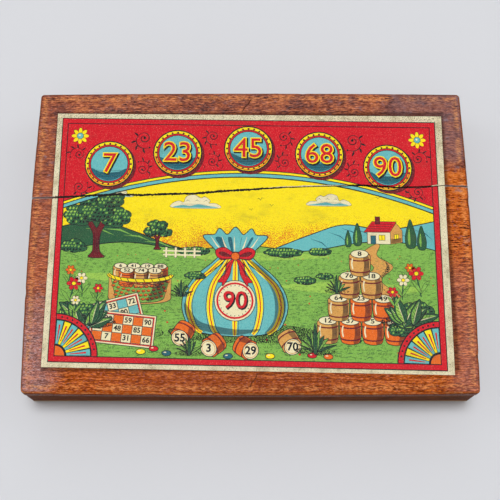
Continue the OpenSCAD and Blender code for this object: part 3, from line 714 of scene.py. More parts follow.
wallTones = {
    "dark": rgb(52, 22, 8), "middle": rgb(106, 54, 26), "light": rgb(146, 84, 44),
    "raw": rgb(206, 166, 118), "rawDark": rgb(168, 122, 78), "stain": rgb(120, 84, 56),
}


def makeWallFinish(name, along):
    # dark polish outside and on the top, raw wood inside; along is the grain's axis
    shader = Shader(name, IOR=1.25, Specular_IOR_Level=0.03)
    x, y = shader.axes()[:2]
    stretch = [10 if axis == along else 1 for axis in "XYZ"]
    streak = shader.noise(1.6, stretch, detail=4, rough=0.65)
    pore = shader.noise(0.4, stretch, detail=1, seed=4)
    blotch = shader.noise(9, detail=4, rough=0.6, seed=9)
    tones = wallTones
    polished = shader.ramp(streak, (0.34, tones["dark"]), (0.5, tones["middle"]), (0.68, tones["light"]))
    polished = shader.mix(blotch.between(0.5, 0.72) * 0.6, polished, tones["dark"])
    raw = shader.mix(streak.between(0.3, 0.7), tones["rawDark"], tones["raw"])
    raw = shader.mix(blotch.between(0.5, 0.75) * 0.5, raw, tones["stain"])
    # the polish stops at the inner arris and thins on the top edge, where the lid rubs
    top = shader.facing("Z") > 0.7
    colour = shader.mix(top * (0.25 + blotch * 0.4), polished, tones["stain"])
    inside = (abs(x) < innerHalfWidth + 0.3) * (abs(y) < innerHalfDepth + 0.3)
    colour = shader.mix((pore < 0.4) * 0.5, shader.mix(inside, colour, raw), tones["dark"])
    roughness = 0.45 + inside * 0.25 + (streak - 0.5) * 0.3
    return shader.finish(colour, roughness, streak * 0.6 - (pore < 0.4) * 0.6, depth=0.05)


def makeRawWood(name, along, light, dark, stain, foxing=0.35):
    shader = Shader(name, IOR=1.45, Specular_IOR_Level=0.2)
    stretch = [11 if axis == along else 1 for axis in "XYZ"]
    streak = shader.noise(1.8, stretch, detail=5, rough=0.62)
    ring = shader.noise(9, stretch, detail=2, seed=2)
    pore = shader.noise(0.28, stretch, detail=1, seed=4)
    blotch = shader.noise(14, detail=4, rough=0.6, seed=9)
    colour = shader.mix((streak * 0.6 + ring * 0.5).between(0.35, 0.75), dark, light)
    colour = shader.mix(blotch.between(0.48, 0.72) * foxing, colour, stain)
    colour = shader.mix((pore < 0.4) * 0.35, colour, stain)
    return shader.finish(colour, 0.62 + (streak - 0.5) * 0.2, streak - (pore < 0.4) * 0.5, depth=0.05)


def makeMetal(name, bright, dull, roughness):
    shader = Shader(name, Metallic=1.0)
    wear = shader.noise(2.2, detail=5, rough=0.65)
    speck = shader.noise(0.5, detail=3, seed=2)
    tarnish = (wear * 0.7 + speck * 0.4).between(0.42, 0.68)
    colour = shader.mix(tarnish, bright, dull)
    return shader.finish(colour, roughness + tarnish * 0.25, speck, depth=0.03, metallic=1 - tarnish * 0.35)


def makeBottomFinish():
    # the bottom board: raw wood with heavier stained blotches
    return makeRawWood("bottom board wood", "X", rgb(186, 148, 104), rgb(146, 106, 70), rgb(92, 64, 44), 0.6)


def paint(nodeName, material):
    node = nodes[nodeName]
    node.data.materials.clear()
    node.data.materials.append(material)


makeBoard().data.materials.append(makeLidFinish())
for side, grainAxis in {"front": "X", "back": "X", "left": "Y", "right": "Y"}.items():
    paint(side + "_wall", makeWallFinish(side + "_wall wood", grainAxis))
paint("bottom_board", makeBottomFinish())
for trimName, grainAxis in {
    "card_divider": "Y", "counter_divider": "X", "lid_batten_left": "Y", "lid_batten_right": "Y",
}.items():
    paint(trimName, makeRawWood(
        trimName + " wood", grainAxis, rgb(212, 172, 124), rgb(176, 130, 84), rgb(124, 86, 56),
    ))
brass = makeMetal("old brass", rgb(214, 176, 96), rgb(116, 88, 48), 0.32)
steel = makeMetal("old steel", rgb(150, 146, 142), rgb(82, 66, 56), 0.42)
for metalName in [name for name in nodes if name.startswith("hinge") or name == "batten_screws"]:
    paint(metalName, brass)
paint("bottom_brads", steel)
print("construction painted")


# The label: pasted paper with a colour print

paper = {
    "light": rgb(234, 224, 190), "dark": rgb(198, 184, 146), "spot": rgb(128, 112, 84),
    "grime": rgb(84, 70, 52),
}


def wornAway(shader, x, y):
    # 1 where the print has gone: along the crack, in small pinholes and at scuffs
    fine = shader.noise(0.34, detail=2, seed=23)
    coarse = shader.noise(5, (2, 1, 1), detail=3, seed=24)
    dark, frayed = crackMarks(shader, x, y)[1:]
    pinhole = fine > 0.78 - coarse.between(0.5, 0.75) * 0.1
    return frayed.most(pinhole) * (1 - dark), dark


def makePaper():
    shader = Shader("label paper", IOR=1.35, Specular_IOR_Level=0.15)
    blotch = shader.noise(7, detail=4, rough=0.65)
    fibre = shader.noise(0.5, (2, 1, 1), detail=3, seed=2)
    speck = shader.noise(0.6, detail=2, seed=4)
    colour = shader.mix((blotch * 0.6 + fibre * 0.5).between(0.4, 0.75), paper["light"], paper["dark"])
    x, y = shader.axes()[:2]
    soiled = speck + y.between(30, 80) * 0.05
    colour = shader.mix(soiled.between(0.58, 0.66) * 0.75, colour, paper["grime"])
    colour = shader.mix(blotch.between(0.52, 0.75) * 0.4, colour, paper["spot"])
    # the crack's gap painted dark as shade, and the paper's cut edges darker
    edge = (shader.facing("Z") < 0.5) * 0.7
    dark = crackMarks(shader, x, y)[1]
    colour = shader.mix((dark * 0.9).most(edge), colour, rgb(44, 34, 26))
    return shader.finish(colour, 0.5, fibre + blotch, depth=0.03)


paint("lid_label", makePaper())

key = rgb(22, 24, 32)
# each ink has its colour, the colour of the printer's dots in it and how much of it they fill
inks = {
    "key": {"colour": key, "dot": rgb(52, 54, 62), "share": 0.25},
    "red": {"colour": rgb(210, 26, 40), "dot": rgb(150, 14, 34), "share": 0.4},
    "maroon": {"colour": rgb(112, 26, 36), "dot": rgb(64, 16, 30), "share": 0.5},
    "orange": {"colour": rgb(230, 108, 30), "dot": rgb(178, 52, 28), "share": 0.55},
    "yellow": {"colour": rgb(250, 226, 22), "dot": rgb(222, 176, 20), "share": 0.3, "mottle": 0.3},
    "cream": {"colour": rgb(236, 226, 184), "dot": rgb(200, 172, 114), "share": 0.45},
    "lime": {"colour": rgb(158, 200, 84), "dot": rgb(84, 132, 52), "share": 0.6, "mottle": 0.6},
    "green": {"colour": rgb(132, 184, 80), "dot": rgb(44, 88, 40), "share": 0.75, "mottle": 0.75},
    "darkGreen": {"colour": rgb(44, 92, 60), "dot": rgb(20, 46, 48), "share": 0.65},
    "turquoise": {"colour": rgb(106, 186, 186), "dot": rgb(48, 128, 146), "share": 0.5},
    "teal": {"colour": rgb(36, 104, 118), "dot": rgb(20, 52, 74), "share": 0.5},
    "tan": {"colour": rgb(216, 160, 82), "dot": rgb(160, 92, 38), "share": 0.6},
    "shade": {"colour": key, "dot": key, "stipple": 0.5},
    "wash": {"colour": rgb(24, 30, 50), "dot": key, "share": 0.3, "cover": 0.42},
    "blush": {"colour": rgb(226, 110, 36), "dot": rgb(226, 110, 36), "stipple": 0.5, "fade": (-10, 26)},
}
dots = {"size": 0.66, "soft": 0.08}


def makeInk(name):
    ink = inks[name]
    shader = Shader("print " + name, IOR=1.35, Specular_IOR_Level=0.15)
    x, y = shader.axes()[:2]
    broad = shader.noise(9, detail=3, seed=31)
    grain = shader.noise(0.5, detail=2, seed=32)
    cell = shader.cells(dots["size"])
    gone, dark = wornAway(shader, x, y)
    alpha = 1 - gone
    field = shader.noise(1.1, (2.6, 1, 1), detail=3, rough=0.7, seed=35).between(0.5, 0.66)
    fine = shader.noise(0.62, detail=1, rough=0.7, seed=36)
    if "cover" in ink:
        alpha = alpha * ink["cover"]
    if "stipple" in ink:
        reach = broad.between(0.25, 0.8) * 0.3 + ink["stipple"] - 0.12
        if "fade" in ink:
            reach = reach * (1 - y.between(*ink["fade"]))
        alpha = alpha * (1 - cell.between(reach - 0.12, reach + 0.12))
        colour = shader.mix(grain * 0.3, ink["colour"], ink["dot"])
    else:
        reach = (broad.between(0.35, 0.75) * 0.45 + 0.12) * ink["share"]
        spots = 1 - cell.between(reach - dots["soft"], reach + dots["soft"])
        printed = (spots * 0.8).most(field * ink.get("mottle", 0.15)).most(fine.between(0.54, 0.66) * 0.4)
        colour = shader.mix(printed, ink["colour"], ink["dot"])
        colour = shader.mix((1 - fine.between(0.31, 0.38)) * 0.1, colour, paper["light"])
    # thin spots where paper grins through, handling marks and dark specks
    colour = shader.mix(grain.between(0.6, 0.8) * 0.4, colour, paper["light"])
    soil = shader.noise(16, (2, 1, 1), detail=5, rough=0.7, seed=33).between(0.5, 0.75) * 0.3
    speck = shader.noise(0.7, detail=1, seed=34) > 0.72
    colour = shader.mix(soil.most(speck * 0.6), colour, paper["grime"])
    # the crack's gap painted dark as shade over the print
    colour = shader.mix(dark, colour, rgb(26, 22, 20))
    return shader.finish(colour, 0.5 + (grain - 0.5) * 0.3, grain + broad, depth=0.02, alpha=alpha)


# Outlines for the prints, in millimetres from the paper's middle

def place(shape, x, y, scale=1, turn=0, flip=1):
    c, s = math.cos(math.radians(turn)) * scale, math.sin(math.radians(turn)) * scale
    return [(x + flip * (px * c - py * s), y + px * s + py * c) for px, py in shape]


def setter(*spot):
    # a function that puts outlines at one spot, given as for place
    return lambda shape: place(shape, *spot)


def arc(radiusX, radiusY, start, end, count=12):
    angles = [math.radians(start + (end - start) * i / count) for i in range(count + 1)]
    return [(radiusX * math.cos(a), radiusY * math.sin(a)) for a in angles]


def ellipse(x, y, width, height, turn=0, count=28):
    return place(arc(width / 2, height / 2, 0, 360 - 360 / count, count - 1), x, y, 1, turn)


def rectangle(x, y, width, height, turn=0):
    w, h = width / 2, height / 2
    return place([(-w, -h), (w, -h), (w, h), (-w, h)], x, y, 1, turn)


def smooth(points, steps=5, closed=True):
    # a soft line through the points
    count = len(points)
    made = []
    for i in range(count if closed else count - 1):
        nearby = [points[(i + k) % count if closed else min(max(i + k, 0), count - 1)] for k in (-1, 0, 1, 2)]
        made += [tuple(softStep(*axis, s / steps) for axis in zip(*nearby)) for s in range(steps)]
    return made if closed else made + [points[-1]]


def stroke(path, width, tip=0.15):
    # a brush line along a path, thick in the middle and thin at its ends
    last = len(path) - 1
    left, right = [], []
    for i, (x, y) in enumerate(path):
        (ax, ay), (bx, by) = path[max(i - 1, 0)], path[min(i + 1, last)]
        reach = math.hypot(bx - ax, by - ay) or 1
        half = width / 2 * (tip + (1 - tip) * math.sin(math.pi * (i / last)) ** 0.6)
        left.append((x - (by - ay) / reach * half, y + (bx - ax) / reach * half))
        right.append((x + (by - ay) / reach * half, y - (bx - ax) / reach * half))
    return left + right[::-1]


def line(ax, ay, bx, by, width):
    return stroke([(ax, ay), ((ax + bx) / 2, (ay + by) / 2), (bx, by)], width, 1)


def grown(shape, amount):
    # the outline moved outwards by an amount
    area = sum(ax * by - bx * ay for (ax, ay), (bx, by) in zip(shape, shape[1:] + shape[:1]))
    sign = 1 if area > 0 else -1
    made = []
    for i, (x, y) in enumerate(shape):
        (ax, ay), (bx, by) = shape[i - 1], shape[(i + 1) % len(shape)]
        first, second = math.hypot(x - ax, y - ay) or 1, math.hypot(bx - x, by - y) or 1
        nx = (y - ay) / first + (by - y) / second
        ny = -(x - ax) / first - (bx - x) / second
        size = math.hypot(nx, ny) or 1
        reach = amount * sign * min(2.2, 2 / size)
        made.append((x + nx / size * reach, y + ny / size * reach))
    return made


def spiral(start, end, turns, angle, count=26):
    made = []
    for i in range(count + 1):
        share = i / count
        radius = start + (end - start) * share ** 1.4
        a = math.radians(angle) + 2 * math.pi * turns * share
        made.append((radius * math.cos(a), radius * math.sin(a)))
    return made


# Printing: every call lays its outlines a hair above the last one's, so later ones cover earlier

printing = {
    "step": 0.0009, "first": 0.02, "level": 0, "surface": labelTop, "pieces": {},
    # the font's size for a figure's height
    "fontSize": 1.4,
}


def toPaper(shapeObject, ink):
    printing["pieces"].setdefault(ink, []).append(shapeObject)
    shapeObject.location.z = (printing["surface"] + layerHeight() / 2) * mm


def layerHeight():
    return printing["first"] + printing["level"] * printing["step"]


def beside(maker, rows):
    # motifs that don't touch each other share the same levels
    start = highest = printing["level"]
    for row in rows:
        printing["level"] = start
        maker(*row)
        highest = max(highest, printing["level"])
    printing["level"] = highest


def draw(ink, *shapes):
    # the outlines of one call may lie inside each other, as holes, but don't cross
    printing["level"] += 1
    curve = bpy.data.curves.new("outline", "CURVE")
    curve.dimensions = "2D"
    curve.fill_mode = "BOTH"
    curve.extrude = layerHeight() / 2 * mm
    for shape in shapes:
        spline = curve.splines.new("POLY")
        spline.points.add(len(shape) - 1)
        for point, (x, y) in zip(spline.points, shape):
            point.co = (x * mm, y * mm, 0, 1)
        spline.use_cyclic_u = True
    shapeObject = bpy.data.objects.new("outline", curve)
    bpy.context.collection.objects.link(shapeObject)
    toPaper(shapeObject, ink)


def edged(ink, *shapes, edge=0.42):
    draw("key", *[grown(shape, edge) for shape in shapes])
    draw(ink, *shapes)


def numeral(number, x, y, height, thickness, depth):
    # a number as a text object with its middle at x, y
    bpy.ops.object.text_add(location=(x * mm, y * mm, 0))
    text = bpy.context.object
    text.data.body = str(number)
    text.data.align_x = text.data.align_y = "CENTER"
    text.data.size = height * printing["fontSize"] * mm
    text.data.offset = thickness * mm
    text.data.extrude = depth / 2 * mm
    text.data.resolution_u = 3
    return text


def drawNumber(ink, number, x, y, height, thickness=0.0, squash=1, turn=0):
    printing["level"] += 1
    text = numeral(number, x, y, height, thickness, layerHeight())
    text.scale = (1, squash, 1)
    text.rotation_euler.z = math.radians(turn)
    toPaper(text, ink)


# The picture's motifs. Each is drawn from its foot or its middle at x, y.

def cloud(x, y, size, flip=1):
    at = setter(x, y, size, 0, flip)
    lobes = [
        (-16, 0), (-18, 3), (-13, 5.5), (-9, 4.5), (-7, 9), (-1, 10.5), (4, 8), (7, 9), (11, 6), (10, 4),
        (16, 3.5), (17, 0),
    ]
    edged("cream", smooth(at(lobes)), edge=0.22)
    draw("turquoise", smooth(at([(-16, 0.2), (-10, 2.2), (-4, 1.6), (2, 3), (8, 2), (16.4, 0.4)])))
    draw("key", *[at(line(-14 + k, 0.7 + 0.8 * k, 12 - 1.5 * k, 0.7 + 0.8 * k, 0.14)) for k in range(4)])
    draw("key", *[stroke(at([(k, 5), (k + 2, 6.4), (k + 4, 5.2)]), 0.3) for k in (-8, -1, 6)])


def foliage(x, y, width, height, seed, pitch=2.6):
    # a leafy mass: a dark lobed ground, then small leaves lit from the upper left
    pick = random.Random(seed)
    lobes = max(7, int((width + height) / 6))
    swell = [pick.uniform(0.86, 1.1) for k in range(lobes + 1)]
    body = []
    for i in range(lobes * 7):
        share = i / (lobes * 7)
        bump = 0.84 + 0.16 * abs(math.sin(math.pi * lobes * share)) ** 0.6
        reach = bump * swell[int(share * lobes)]
        angle = 2 * math.pi * share
        body.append((width / 2 * reach * math.cos(angle), height / 2 * reach * math.sin(angle)))
    edged("darkGreen", place(body, x, y))
    layers = {"key": [], "green": [], "lime": []}
    leaf = [(-1, 0), (-0.4, 0.75), (0.25, 0.45), (1, 0.55), (0.6, -0.2), (0, -0.6)]
    for column in range(-int(width / 2 / pitch), int(width / 2 / pitch) + 1):
        for row in range(-int(height / 2 / pitch), int(height / 2 / pitch) + 1):
            px = (column + (row % 2) * 0.5 + pick.uniform(-0.12, 0.12)) * pitch
            py = (row + pick.uniform(-0.12, 0.12)) * pitch
            if (2 * px / width) ** 2 + (2 * py / height) ** 2 > 0.78:
                continue
            light = 0.5 - px / width * 0.6 + py / height * 0.9 + pick.uniform(-0.25, 0.25)
            tuft = place(leaf, x + px, y + py, 0.47 * pitch, pick.uniform(0, 90))
            layers["lime" if light > 0.72 else "green" if light > 0.34 else "key"].append(tuft)
    for ink, tufts in layers.items():
        if tufts:
            draw(ink, *tufts)


def tree(x, y, size, seed):
    trunk = [
        (-3.6, 0), (-1.7, 3), (-1.5, 9), (-2.2, 14), (-6, 20), (-3.2, 20), (0, 15.6), (2.6, 21), (5, 20),
        (2, 13), (1.6, 6), (2.4, 2.4), (4.4, 0),
    ]
    edged("maroon", place(smooth(trunk, 3), x, y, size))
    draw("key", *[
        place(stroke([(k, 1), (k * 0.8 + 0.2, 7), (k * 1.3, 14)], 0.42), x, y, size) for k in (-0.9, 0.2, 1.1)
    ])
    for k, (px, py, width, height) in enumerate([
        (-9, 23, 18, 12), (9, 22, 19, 12), (0, 26, 20, 14), (-4, 33, 17, 11), (6, 32, 15, 10),
    ]):
        foliage(x + px * size, y + py * size, width * size, height * size, seed + k, 2.3)


def cypress(x, y, size):
    at = setter(x, y, size)
    body = [(-2, 0), (-3, 5), (-1.8, 11), (0, 16), (1.8, 11), (3, 5), (2, 0)]
    edged("darkGreen", smooth(at(body)), edge=0.3)
    draw("green", smooth(at([(-1.2, 2), (-1.6, 6), (-0.6, 11), (-0.2, 6), (-0.4, 2)])))


def cottage(x, y, size):
    at = setter(x, y, size)
    edged("cream", at([(-10, 0), (4, 0), (4, 8), (-10, 8)]), edge=0.3)
    edged("tan", at([(4, 0), (11, 1.4), (11, 8.6), (7.6, 13), (4, 8)]), edge=0.3)
    edged("red", at([(-12, 7.4), (3.6, 7.4), (7.6, 14), (-7, 14)]), edge=0.3)
    draw("maroon", *[
        at(line(-11 + k * 1.1, 8 + k * 1.5, 3.2 + k * 0.9, 8 + k * 1.5, 0.35)) for k in range(4)
    ])
    edged("maroon", at([(-5, 12.6), (-2.4, 12.6), (-2.4, 17), (-5, 17)]), edge=0.3)
    edged("teal", at([(-8, 0), (-5.2, 0), (-5.2, 5), (-8, 5)]), edge=0.25)
    edged(
        "yellow", at(rectangle(-1.3, 3.9, 3.4, 3)), at([(6.4, 3), (8.8, 3.4), (8.8, 6.2), (6.4, 5.9)]),
        edge=0.25,
    )
    draw("key", at(line(-1.3, 2.4, -1.3, 5.4, 0.3)), at(line(7.6, 3.2, 7.6, 6, 0.3)))
    draw("wash", at([(4.2, 0.2), (10.6, 1.6), (10.6, 4), (4.2, 3)]))


def keg(x, y, size, number, ink="tan"):
    # an upright keg with two hoops, seen a little from above
    at = setter(x, y, size)
    side = [
        (-5, 0), (-5.9, 4), (-5.9, 8), (-5, 12), (5, 12), (5.9, 8), (5.9, 4), (5, 0), (2.8, -1.1), (0, -1.5),
        (-2.8, -1.1),
    ]
    edged(ink, smooth(at(side), 4))
    draw("wash", smooth(at([(1.6, -0.9), (2.6, 5), (2, 11), (4.6, 11.4), (5.5, 8), (5.5, 4), (4.7, 0)])))
    for height in (2.2, 9.2):
        bow = [(px, height + py) for px, py in arc(5.7, 1.5, 180, 360)]
        draw("maroon", stroke(at(bow), 0.8 * size, 1))
    draw("key", *[at(line(px, 3.4, px * 1.03, 7.6, 0.22)) for px in (2.6, 3.4, 4.2, 5)])
    draw("cream", smooth(at([(-4.6, 3), (-5.1, 6), (-4.6, 9), (-3.9, 9), (-4.3, 6), (-3.9, 3)])))
    edged("cream", at(ellipse(0, 12, 10, 4.4)))
    drawNumber("key", number, x, y + 12 * size, 3.6 * size, 0.12, 0.72)


def lyingKeg(x, y, size, number, aim, ink="tan"):
    # a keg on its side, its numbered end to the front; aim turns its far end
    at = setter(x, y, size, aim)
    body = [
        (-1, 5.1), (2.5, 5.9), (6.5, 5.9), (10, 4.6), (11, 0), (10, -4.6), (6.5, -5.9), (2.5, -5.9),
        (-1, -5.1),
    ]
    edged(ink, smooth(at(body), 4))
    draw("wash", smooth(at([(0, -4.8), (3, -5.5), (7, -5.4), (10, -3.4), (9, -1.6), (5, -2.6), (1, -2.8)])))
    for along in (2.6, 7.2):
        bow = [(along + px, py) for px, py in arc(1.9, 5.8, -90, 90)]
        draw("maroon", stroke(at(bow), 0.8 * size, 1))
    edged("cream", at(ellipse(0, 0, 9.2, 10.2)))
    draw("tan", at(ellipse(0, 0, 8.2, 9.2)), at(ellipse(0, 0, 7.4, 8.4)))
    drawNumber("key", number, x, y, 5 * size, 0.2)


def numberCard(x, y, size, turn, numbers, ink="turquoise"):
    at = setter(x, y, size, turn)
    edged("cream", at(rectangle(0, 0, 36, 18)))
    draw("red", at(rectangle(0, 0, 34.6, 16.6)), at(rectangle(0, 0, 33.4, 15.4)))
    cells = [(column, row) for row in range(3) for column in range(6)]
    blank = [cell for i, cell in enumerate(cells) if i % 2 == (i // 6) % 2]
    draw(ink, *[at(rectangle(-13.75 + c * 5.5, -5 + r * 5, 5.1, 4.6)) for c, r in blank])
    draw("key", *[at(line(-16.7, -7.5 + k * 5, 16.7, -7.5 + k * 5, 0.35)) for k in range(4)])
    draw("key", *[at(line(-16.5 + k * 5.5, -7.6, -16.5 + k * 5.5, 7.6, 0.35)) for k in range(7)])
    spots = [at([(-13.75 + c * 5.5, -5 + r * 5)])[0] for c, r in cells if (c, r) not in blank]
    beside(drawNumber, [
        ("key", number, px, py, 2.9 * size, 0.14, 1, turn) for (px, py), number in zip(spots, numbers)
    ])


def basket(x, y, size, numbers):
    # a wicker basket heaped with kegs
    at = setter(x, y, size)
    back = zip((-11, -3.7, 3.7, 11), numbers, ("tan", "orange", "tan", "orange"))
    front = zip((-7.4, 0.4, 8), numbers[4:], ("orange", "tan", "tan"))
    for row, rise, scale in ((back, 10, 0.66), (front, 7, 0.7)):
        beside(keg, [(x + px * size, y + rise * size, scale * size, number, ink) for px, number, ink in row])
    edged("tan", at([(-17, 14), (-13.5, 1)] + arc(13.5, 3, 180, 360) + [(17, 14)] + arc(17, 3.4, 0, -180)))
    weave = []
    for row in range(5):
        for k in range(11):
            px = (k - 5 + (row % 2) * 0.5 - 0.25) * (2.5 + row * 0.13)
            weave.append(at(ellipse(px, 0.5 + row * 2.3 + px * px * 0.014 - 1.4, 2.3, 1.5, 0, 10)))
    draw("maroon", *weave)
    draw("orange", *[place(grown(shape, -0.32), 0.15, 0.2) for shape in weave])
    draw("wash", at(smooth([(4, -1.6), (7, 5), (8, 10.6), (15.6, 12.6), (13, 2), (9, -0.8)])))
    rope = [(px, 13.2 + py) for px, py in arc(17.4, 3.6, 180, 360, 24)]
    draw("key", stroke(at(rope), 2.4 * size, 1))
    draw("yellow", stroke(at(rope), 1.6 * size, 1))
    draw("maroon", *[at(line(px - 0.5, py + 0.8, px + 0.5, py - 0.8, 0.4)) for px, py in rope[1:-1:2]])


def sack(x, y, size):
    # a tied draw bag with stripes, a ruffle, a bow and a numbered patch
    at = setter(x, y, size)
    ruffle = [
        (-7, 46), (-13, 52), (-20, 60), (-13, 61), (-10, 65), (-5, 61), (0, 66), (5, 61), (10, 65), (13, 61),
        (20, 60), (13, 52), (7, 46),
    ]
    body = [
        (-24, 0), (-31, 9), (-32, 20), (-26, 32), (-15, 42), (-8, 47), (8, 47), (15, 42), (26, 32), (32, 20),
        (31, 9), (24, 0), (0, -3),
    ]
    edged("turquoise", at(smooth(ruffle)), at(smooth(body)), edge=0.55)
    draw("teal", *[
        at(smooth([(k * 0.45, 47.5), (k, 53), (k * 1.4, 59), (k * 1.05 + 1.2, 59), (k * 0.7 + 0.9, 53)]))
        for k in (-9, -3.4, 2.6, 8)
    ])
    draw("cream", *[
        at(stroke([(k * 0.5, 48.5), (k, 54), (k * 1.35, 60)], 0.9)) for k in (-11.5, -6.4, -0.6, 5.4, 11)
    ])
    seams = []
    for k in (-1, -0.55, 0, 0.55, 1):
        way = [(k * 7, 46), (k * 15, 38), (k * 25, 28), (k * 28.5, 15), (k * 25, 3)]
        seams.append(smooth(way + [(k * 20, -2.7 + 1.5 * abs(k))], closed=False))
    draw("yellow", *[stroke(at(seam), 3.4 * size, 0.5) for seam in seams])
    draw("red", *[stroke(at(seam), 0.7, 0.5) for seam in seams])
    draw("key", *[
        stroke(at([(px + side * 2.1, py) for px, py in seam]), 0.4, 0.4) for seam in seams for side in (-1, 1)
    ])
    draw("wash", at(smooth([
        (9, 44), (18, 34), (24, 22), (24, 8), (18, -1.6), (24, 0.4), (30, 9), (31, 20), (25.4, 31),
        (15, 41.4),
    ])))
    draw("wash", at(smooth([
        (-23, 1), (-30, 9), (-31, 17), (-27, 12), (-20, 5), (0, 1.2), (16, 1.4), (0, -2.4),
    ])))
    draw("key", *[
        stroke(at([(k * 0.42, 45.6), (k * 0.7, 41), (k * 1.3, 35)]), 0.7) for k in (-14, -9, -4, 4, 9, 14)
    ])
    # hatching that follows the swell
    hatching = [
        [(26 + 0.3 * k, 30 - 3 * k), (28.4 - 0.1 * k, 28.4 - 3 * k), (30.6 - 0.1 * k, 26 - 3 * k)]
        for k in range(8)
    ]
    draw("key", *[stroke(at(hatch), 0.34) for hatch in hatching])
    draw("key", *[
        stroke(at([(-30.5 + k, 8 - 0.9 * k), (-27 + k, 6.8 - 0.9 * k), (-23.5 + k, 6.6 - k)]), 0.3)
        for k in (0, 1.6, 3.2, 4.8)
    ])
    edged("cream", at(ellipse(0, 19, 25, 25)))
    draw("red", at(ellipse(0, 19, 23, 23)), at(ellipse(0, 19, 20.6, 20.6)))
    draw("key", *[
        place(line(9.2, 0, 10, 0, 0.4), x, y + 19 * size, size, angle) for angle in range(0, 360, 15)
    ])
    drawNumber("key", 90, x + 0.6 * size, y + 18.4 * size, 11 * size, 0.5)
    drawNumber("red", 90, x, y + 19 * size, 11 * size, 0.1)
    edged("red", at(smooth([(-9, 45), (-9, 48.6), (0, 49.8), (9, 48.6), (9, 45), (0, 46)])))
    for flip in (1, -1):
        half = setter(x, y, size, 0, flip)
        edged("red", half(smooth([(0, 47), (6.3, 52.5), (12, 51), (10.8, 46.5), (5.4, 45.6)])))
        draw("maroon", half(smooth([(2, 47.2), (7, 50), (10.5, 49.6), (9, 47.6), (6, 46.8)])))
        tail = [(0.6, 46), (5, 42), (6.4, 36), (10.5, 31), (8, 30.4), (7.4, 28.6), (3.6, 35), (2.4, 41)]
        edged("red", half(smooth(tail)))
        draw("maroon", stroke(half([(2, 44), (5.4, 38), (7.6, 32)]), 0.9))
    edged("orange", at(ellipse(0, 47.2, 5, 4.6)))


def rosette(x, y, size, petals=8, ink="yellow"):
    petal = smooth([(1.4, 0), (3.6, 1.3), (5.6, 0.9), (6.3, 0), (5.6, -0.9), (3.6, -1.3)])
    edged(ink, *[place(petal, x, y, size, 360 * k / petals) for k in range(petals)], edge=0.28)
    edged("turquoise", ellipse(x, y, 4.4 * size, 4.4 * size), edge=0.3)
    draw("cream", ellipse(x - 0.4 * size, y + 0.4 * size, 1.4 * size, 1.4 * size))


def scroll(x, y, size, turn=0, flip=1):
    # a curled tendril with leaves and a bud, thin and dark
    at = setter(x, y, size, turn, flip)
    leaf = smooth([(0, 0), (1.6, 1.3), (3.8, 1.1), (5.6, 0), (3.4, -0.5)])
    draw("key", at(stroke(spiral(4.4, 0.7, 1.35, 200), 0.75, 0.35)))
    draw("key", at(stroke(
        smooth([(-4.2, -1.6), (-5.4, 2.4), (-3.6, 6.2), (0.4, 8), (4.6, 7)], closed=False), 0.7, 0.2,
    )))
    draw("key", *[
        at(place(leaf, px, py, 0.75, angle))
        for px, py, angle in [(-5, 3.4, 150), (-3.4, 6.4, 100), (1, 8, 60), (-4.6, -0.6, 215)]
    ])
    draw("key", at(ellipse(0.5, -0.3, 2, 2)), at(ellipse(5.4, 6.6, 1.5, 1.5)))


def medallion(x, y, size, number):
    at = setter(x, y, size)
    draw("maroon", at(ellipse(1.2, -1.4, 31, 31)))
    edged("yellow", at(ellipse(0, 0, 29, 29)), edge=0.8)
    draw("orange", at(arc(14.2, 14.2, 190, 350, 20) + arc(13, 13.6, 350, 190, 20)))
    draw("maroon", *[place(ellipse(13.4, 0, 1.3, 1.3, 0, 8), x, y, size, 15 * k) for k in range(24)])
    edged("red", at(ellipse(0, 0, 25, 25)))
    edged("turquoise", at(ellipse(0, 0, 22.6, 22.6)))
    draw("teal", at(smooth([(-10.6, -3), (-8, -8), (0, -11), (8, -8), (10.6, -3), (5, -5.4), (-5, -5.4)])))
    draw("key", *[at(line(-9.6 + 0.8 * k, -4.4 - k, 9.6 - 0.8 * k, -4.4 - k, 0.18)) for k in range(5)])
    drawNumber("key", number, x + 0.8, y - 0.9, 13 * size, 0.95)
    drawNumber("yellow", number, x, y, 13 * size, 0.72)
    drawNumber("red", number, x, y, 13 * size, 0.02)


def shellCorner(x, y, flip):
    # a quarter shell in a lower corner of the picture
    at = setter(x, y, 1, 0, flip)

    def rib(inner, outer, start, end):
        return at(arc(outer, outer, start, end, 6) + arc(inner, inner, end, start, 6))
    step = 90 / 7
    edged("red", at([(0, 0)] + arc(26, 26, 0, 90, 18)), edge=0.7)
    draw("key", at([(0, 0)] + arc(23, 23, 0, 90, 18)))
    for ink, first in (("yellow", 1), ("turquoise", 0)):
        draw(ink, *[rib(7.4, 22, step * k + 1.1, step * (k + 1) - 1.1) for k in range(first, 7, 2)])
    draw("red", *[rib(9.5, 19.5, step * (k + 0.5) - 1.5, step * (k + 0.5) + 1.5) for k in range(7)])
    draw("key", *[place(ellipse(24.5, 0, 1.3, 1.3, 0, 8), x, y, 1, 90 - 8 * k * flip) for k in range(1, 11)])
    edged("orange", at([(0, 0)] + arc(6, 6, 0, 90)))


def flower(x, y, size, ink, lean=0):
    draw("darkGreen", place(stroke([(0, 0), (lean * 0.4, 5), (lean, 11)], 0.9, 0.6), x, y, size))
    leaf = smooth([(0, 2), (2.4, 4.6), (4.6, 8.4), (1.6, 6.4)])
    for flip in (1, -1):
        edged("green", place(leaf, x, y, size, 0, flip), edge=0.22)
    head = (x + lean * size, y + 12 * size)
    edged(ink, *[place(ellipse(2.4, 0, 2.7, 2.1, 0, 12), *head, size, 60 * k) for k in range(6)], edge=0.24)
    edged("yellow", place(ellipse(0, 0, 2, 2, 0, 12), *head, size), edge=0.2)


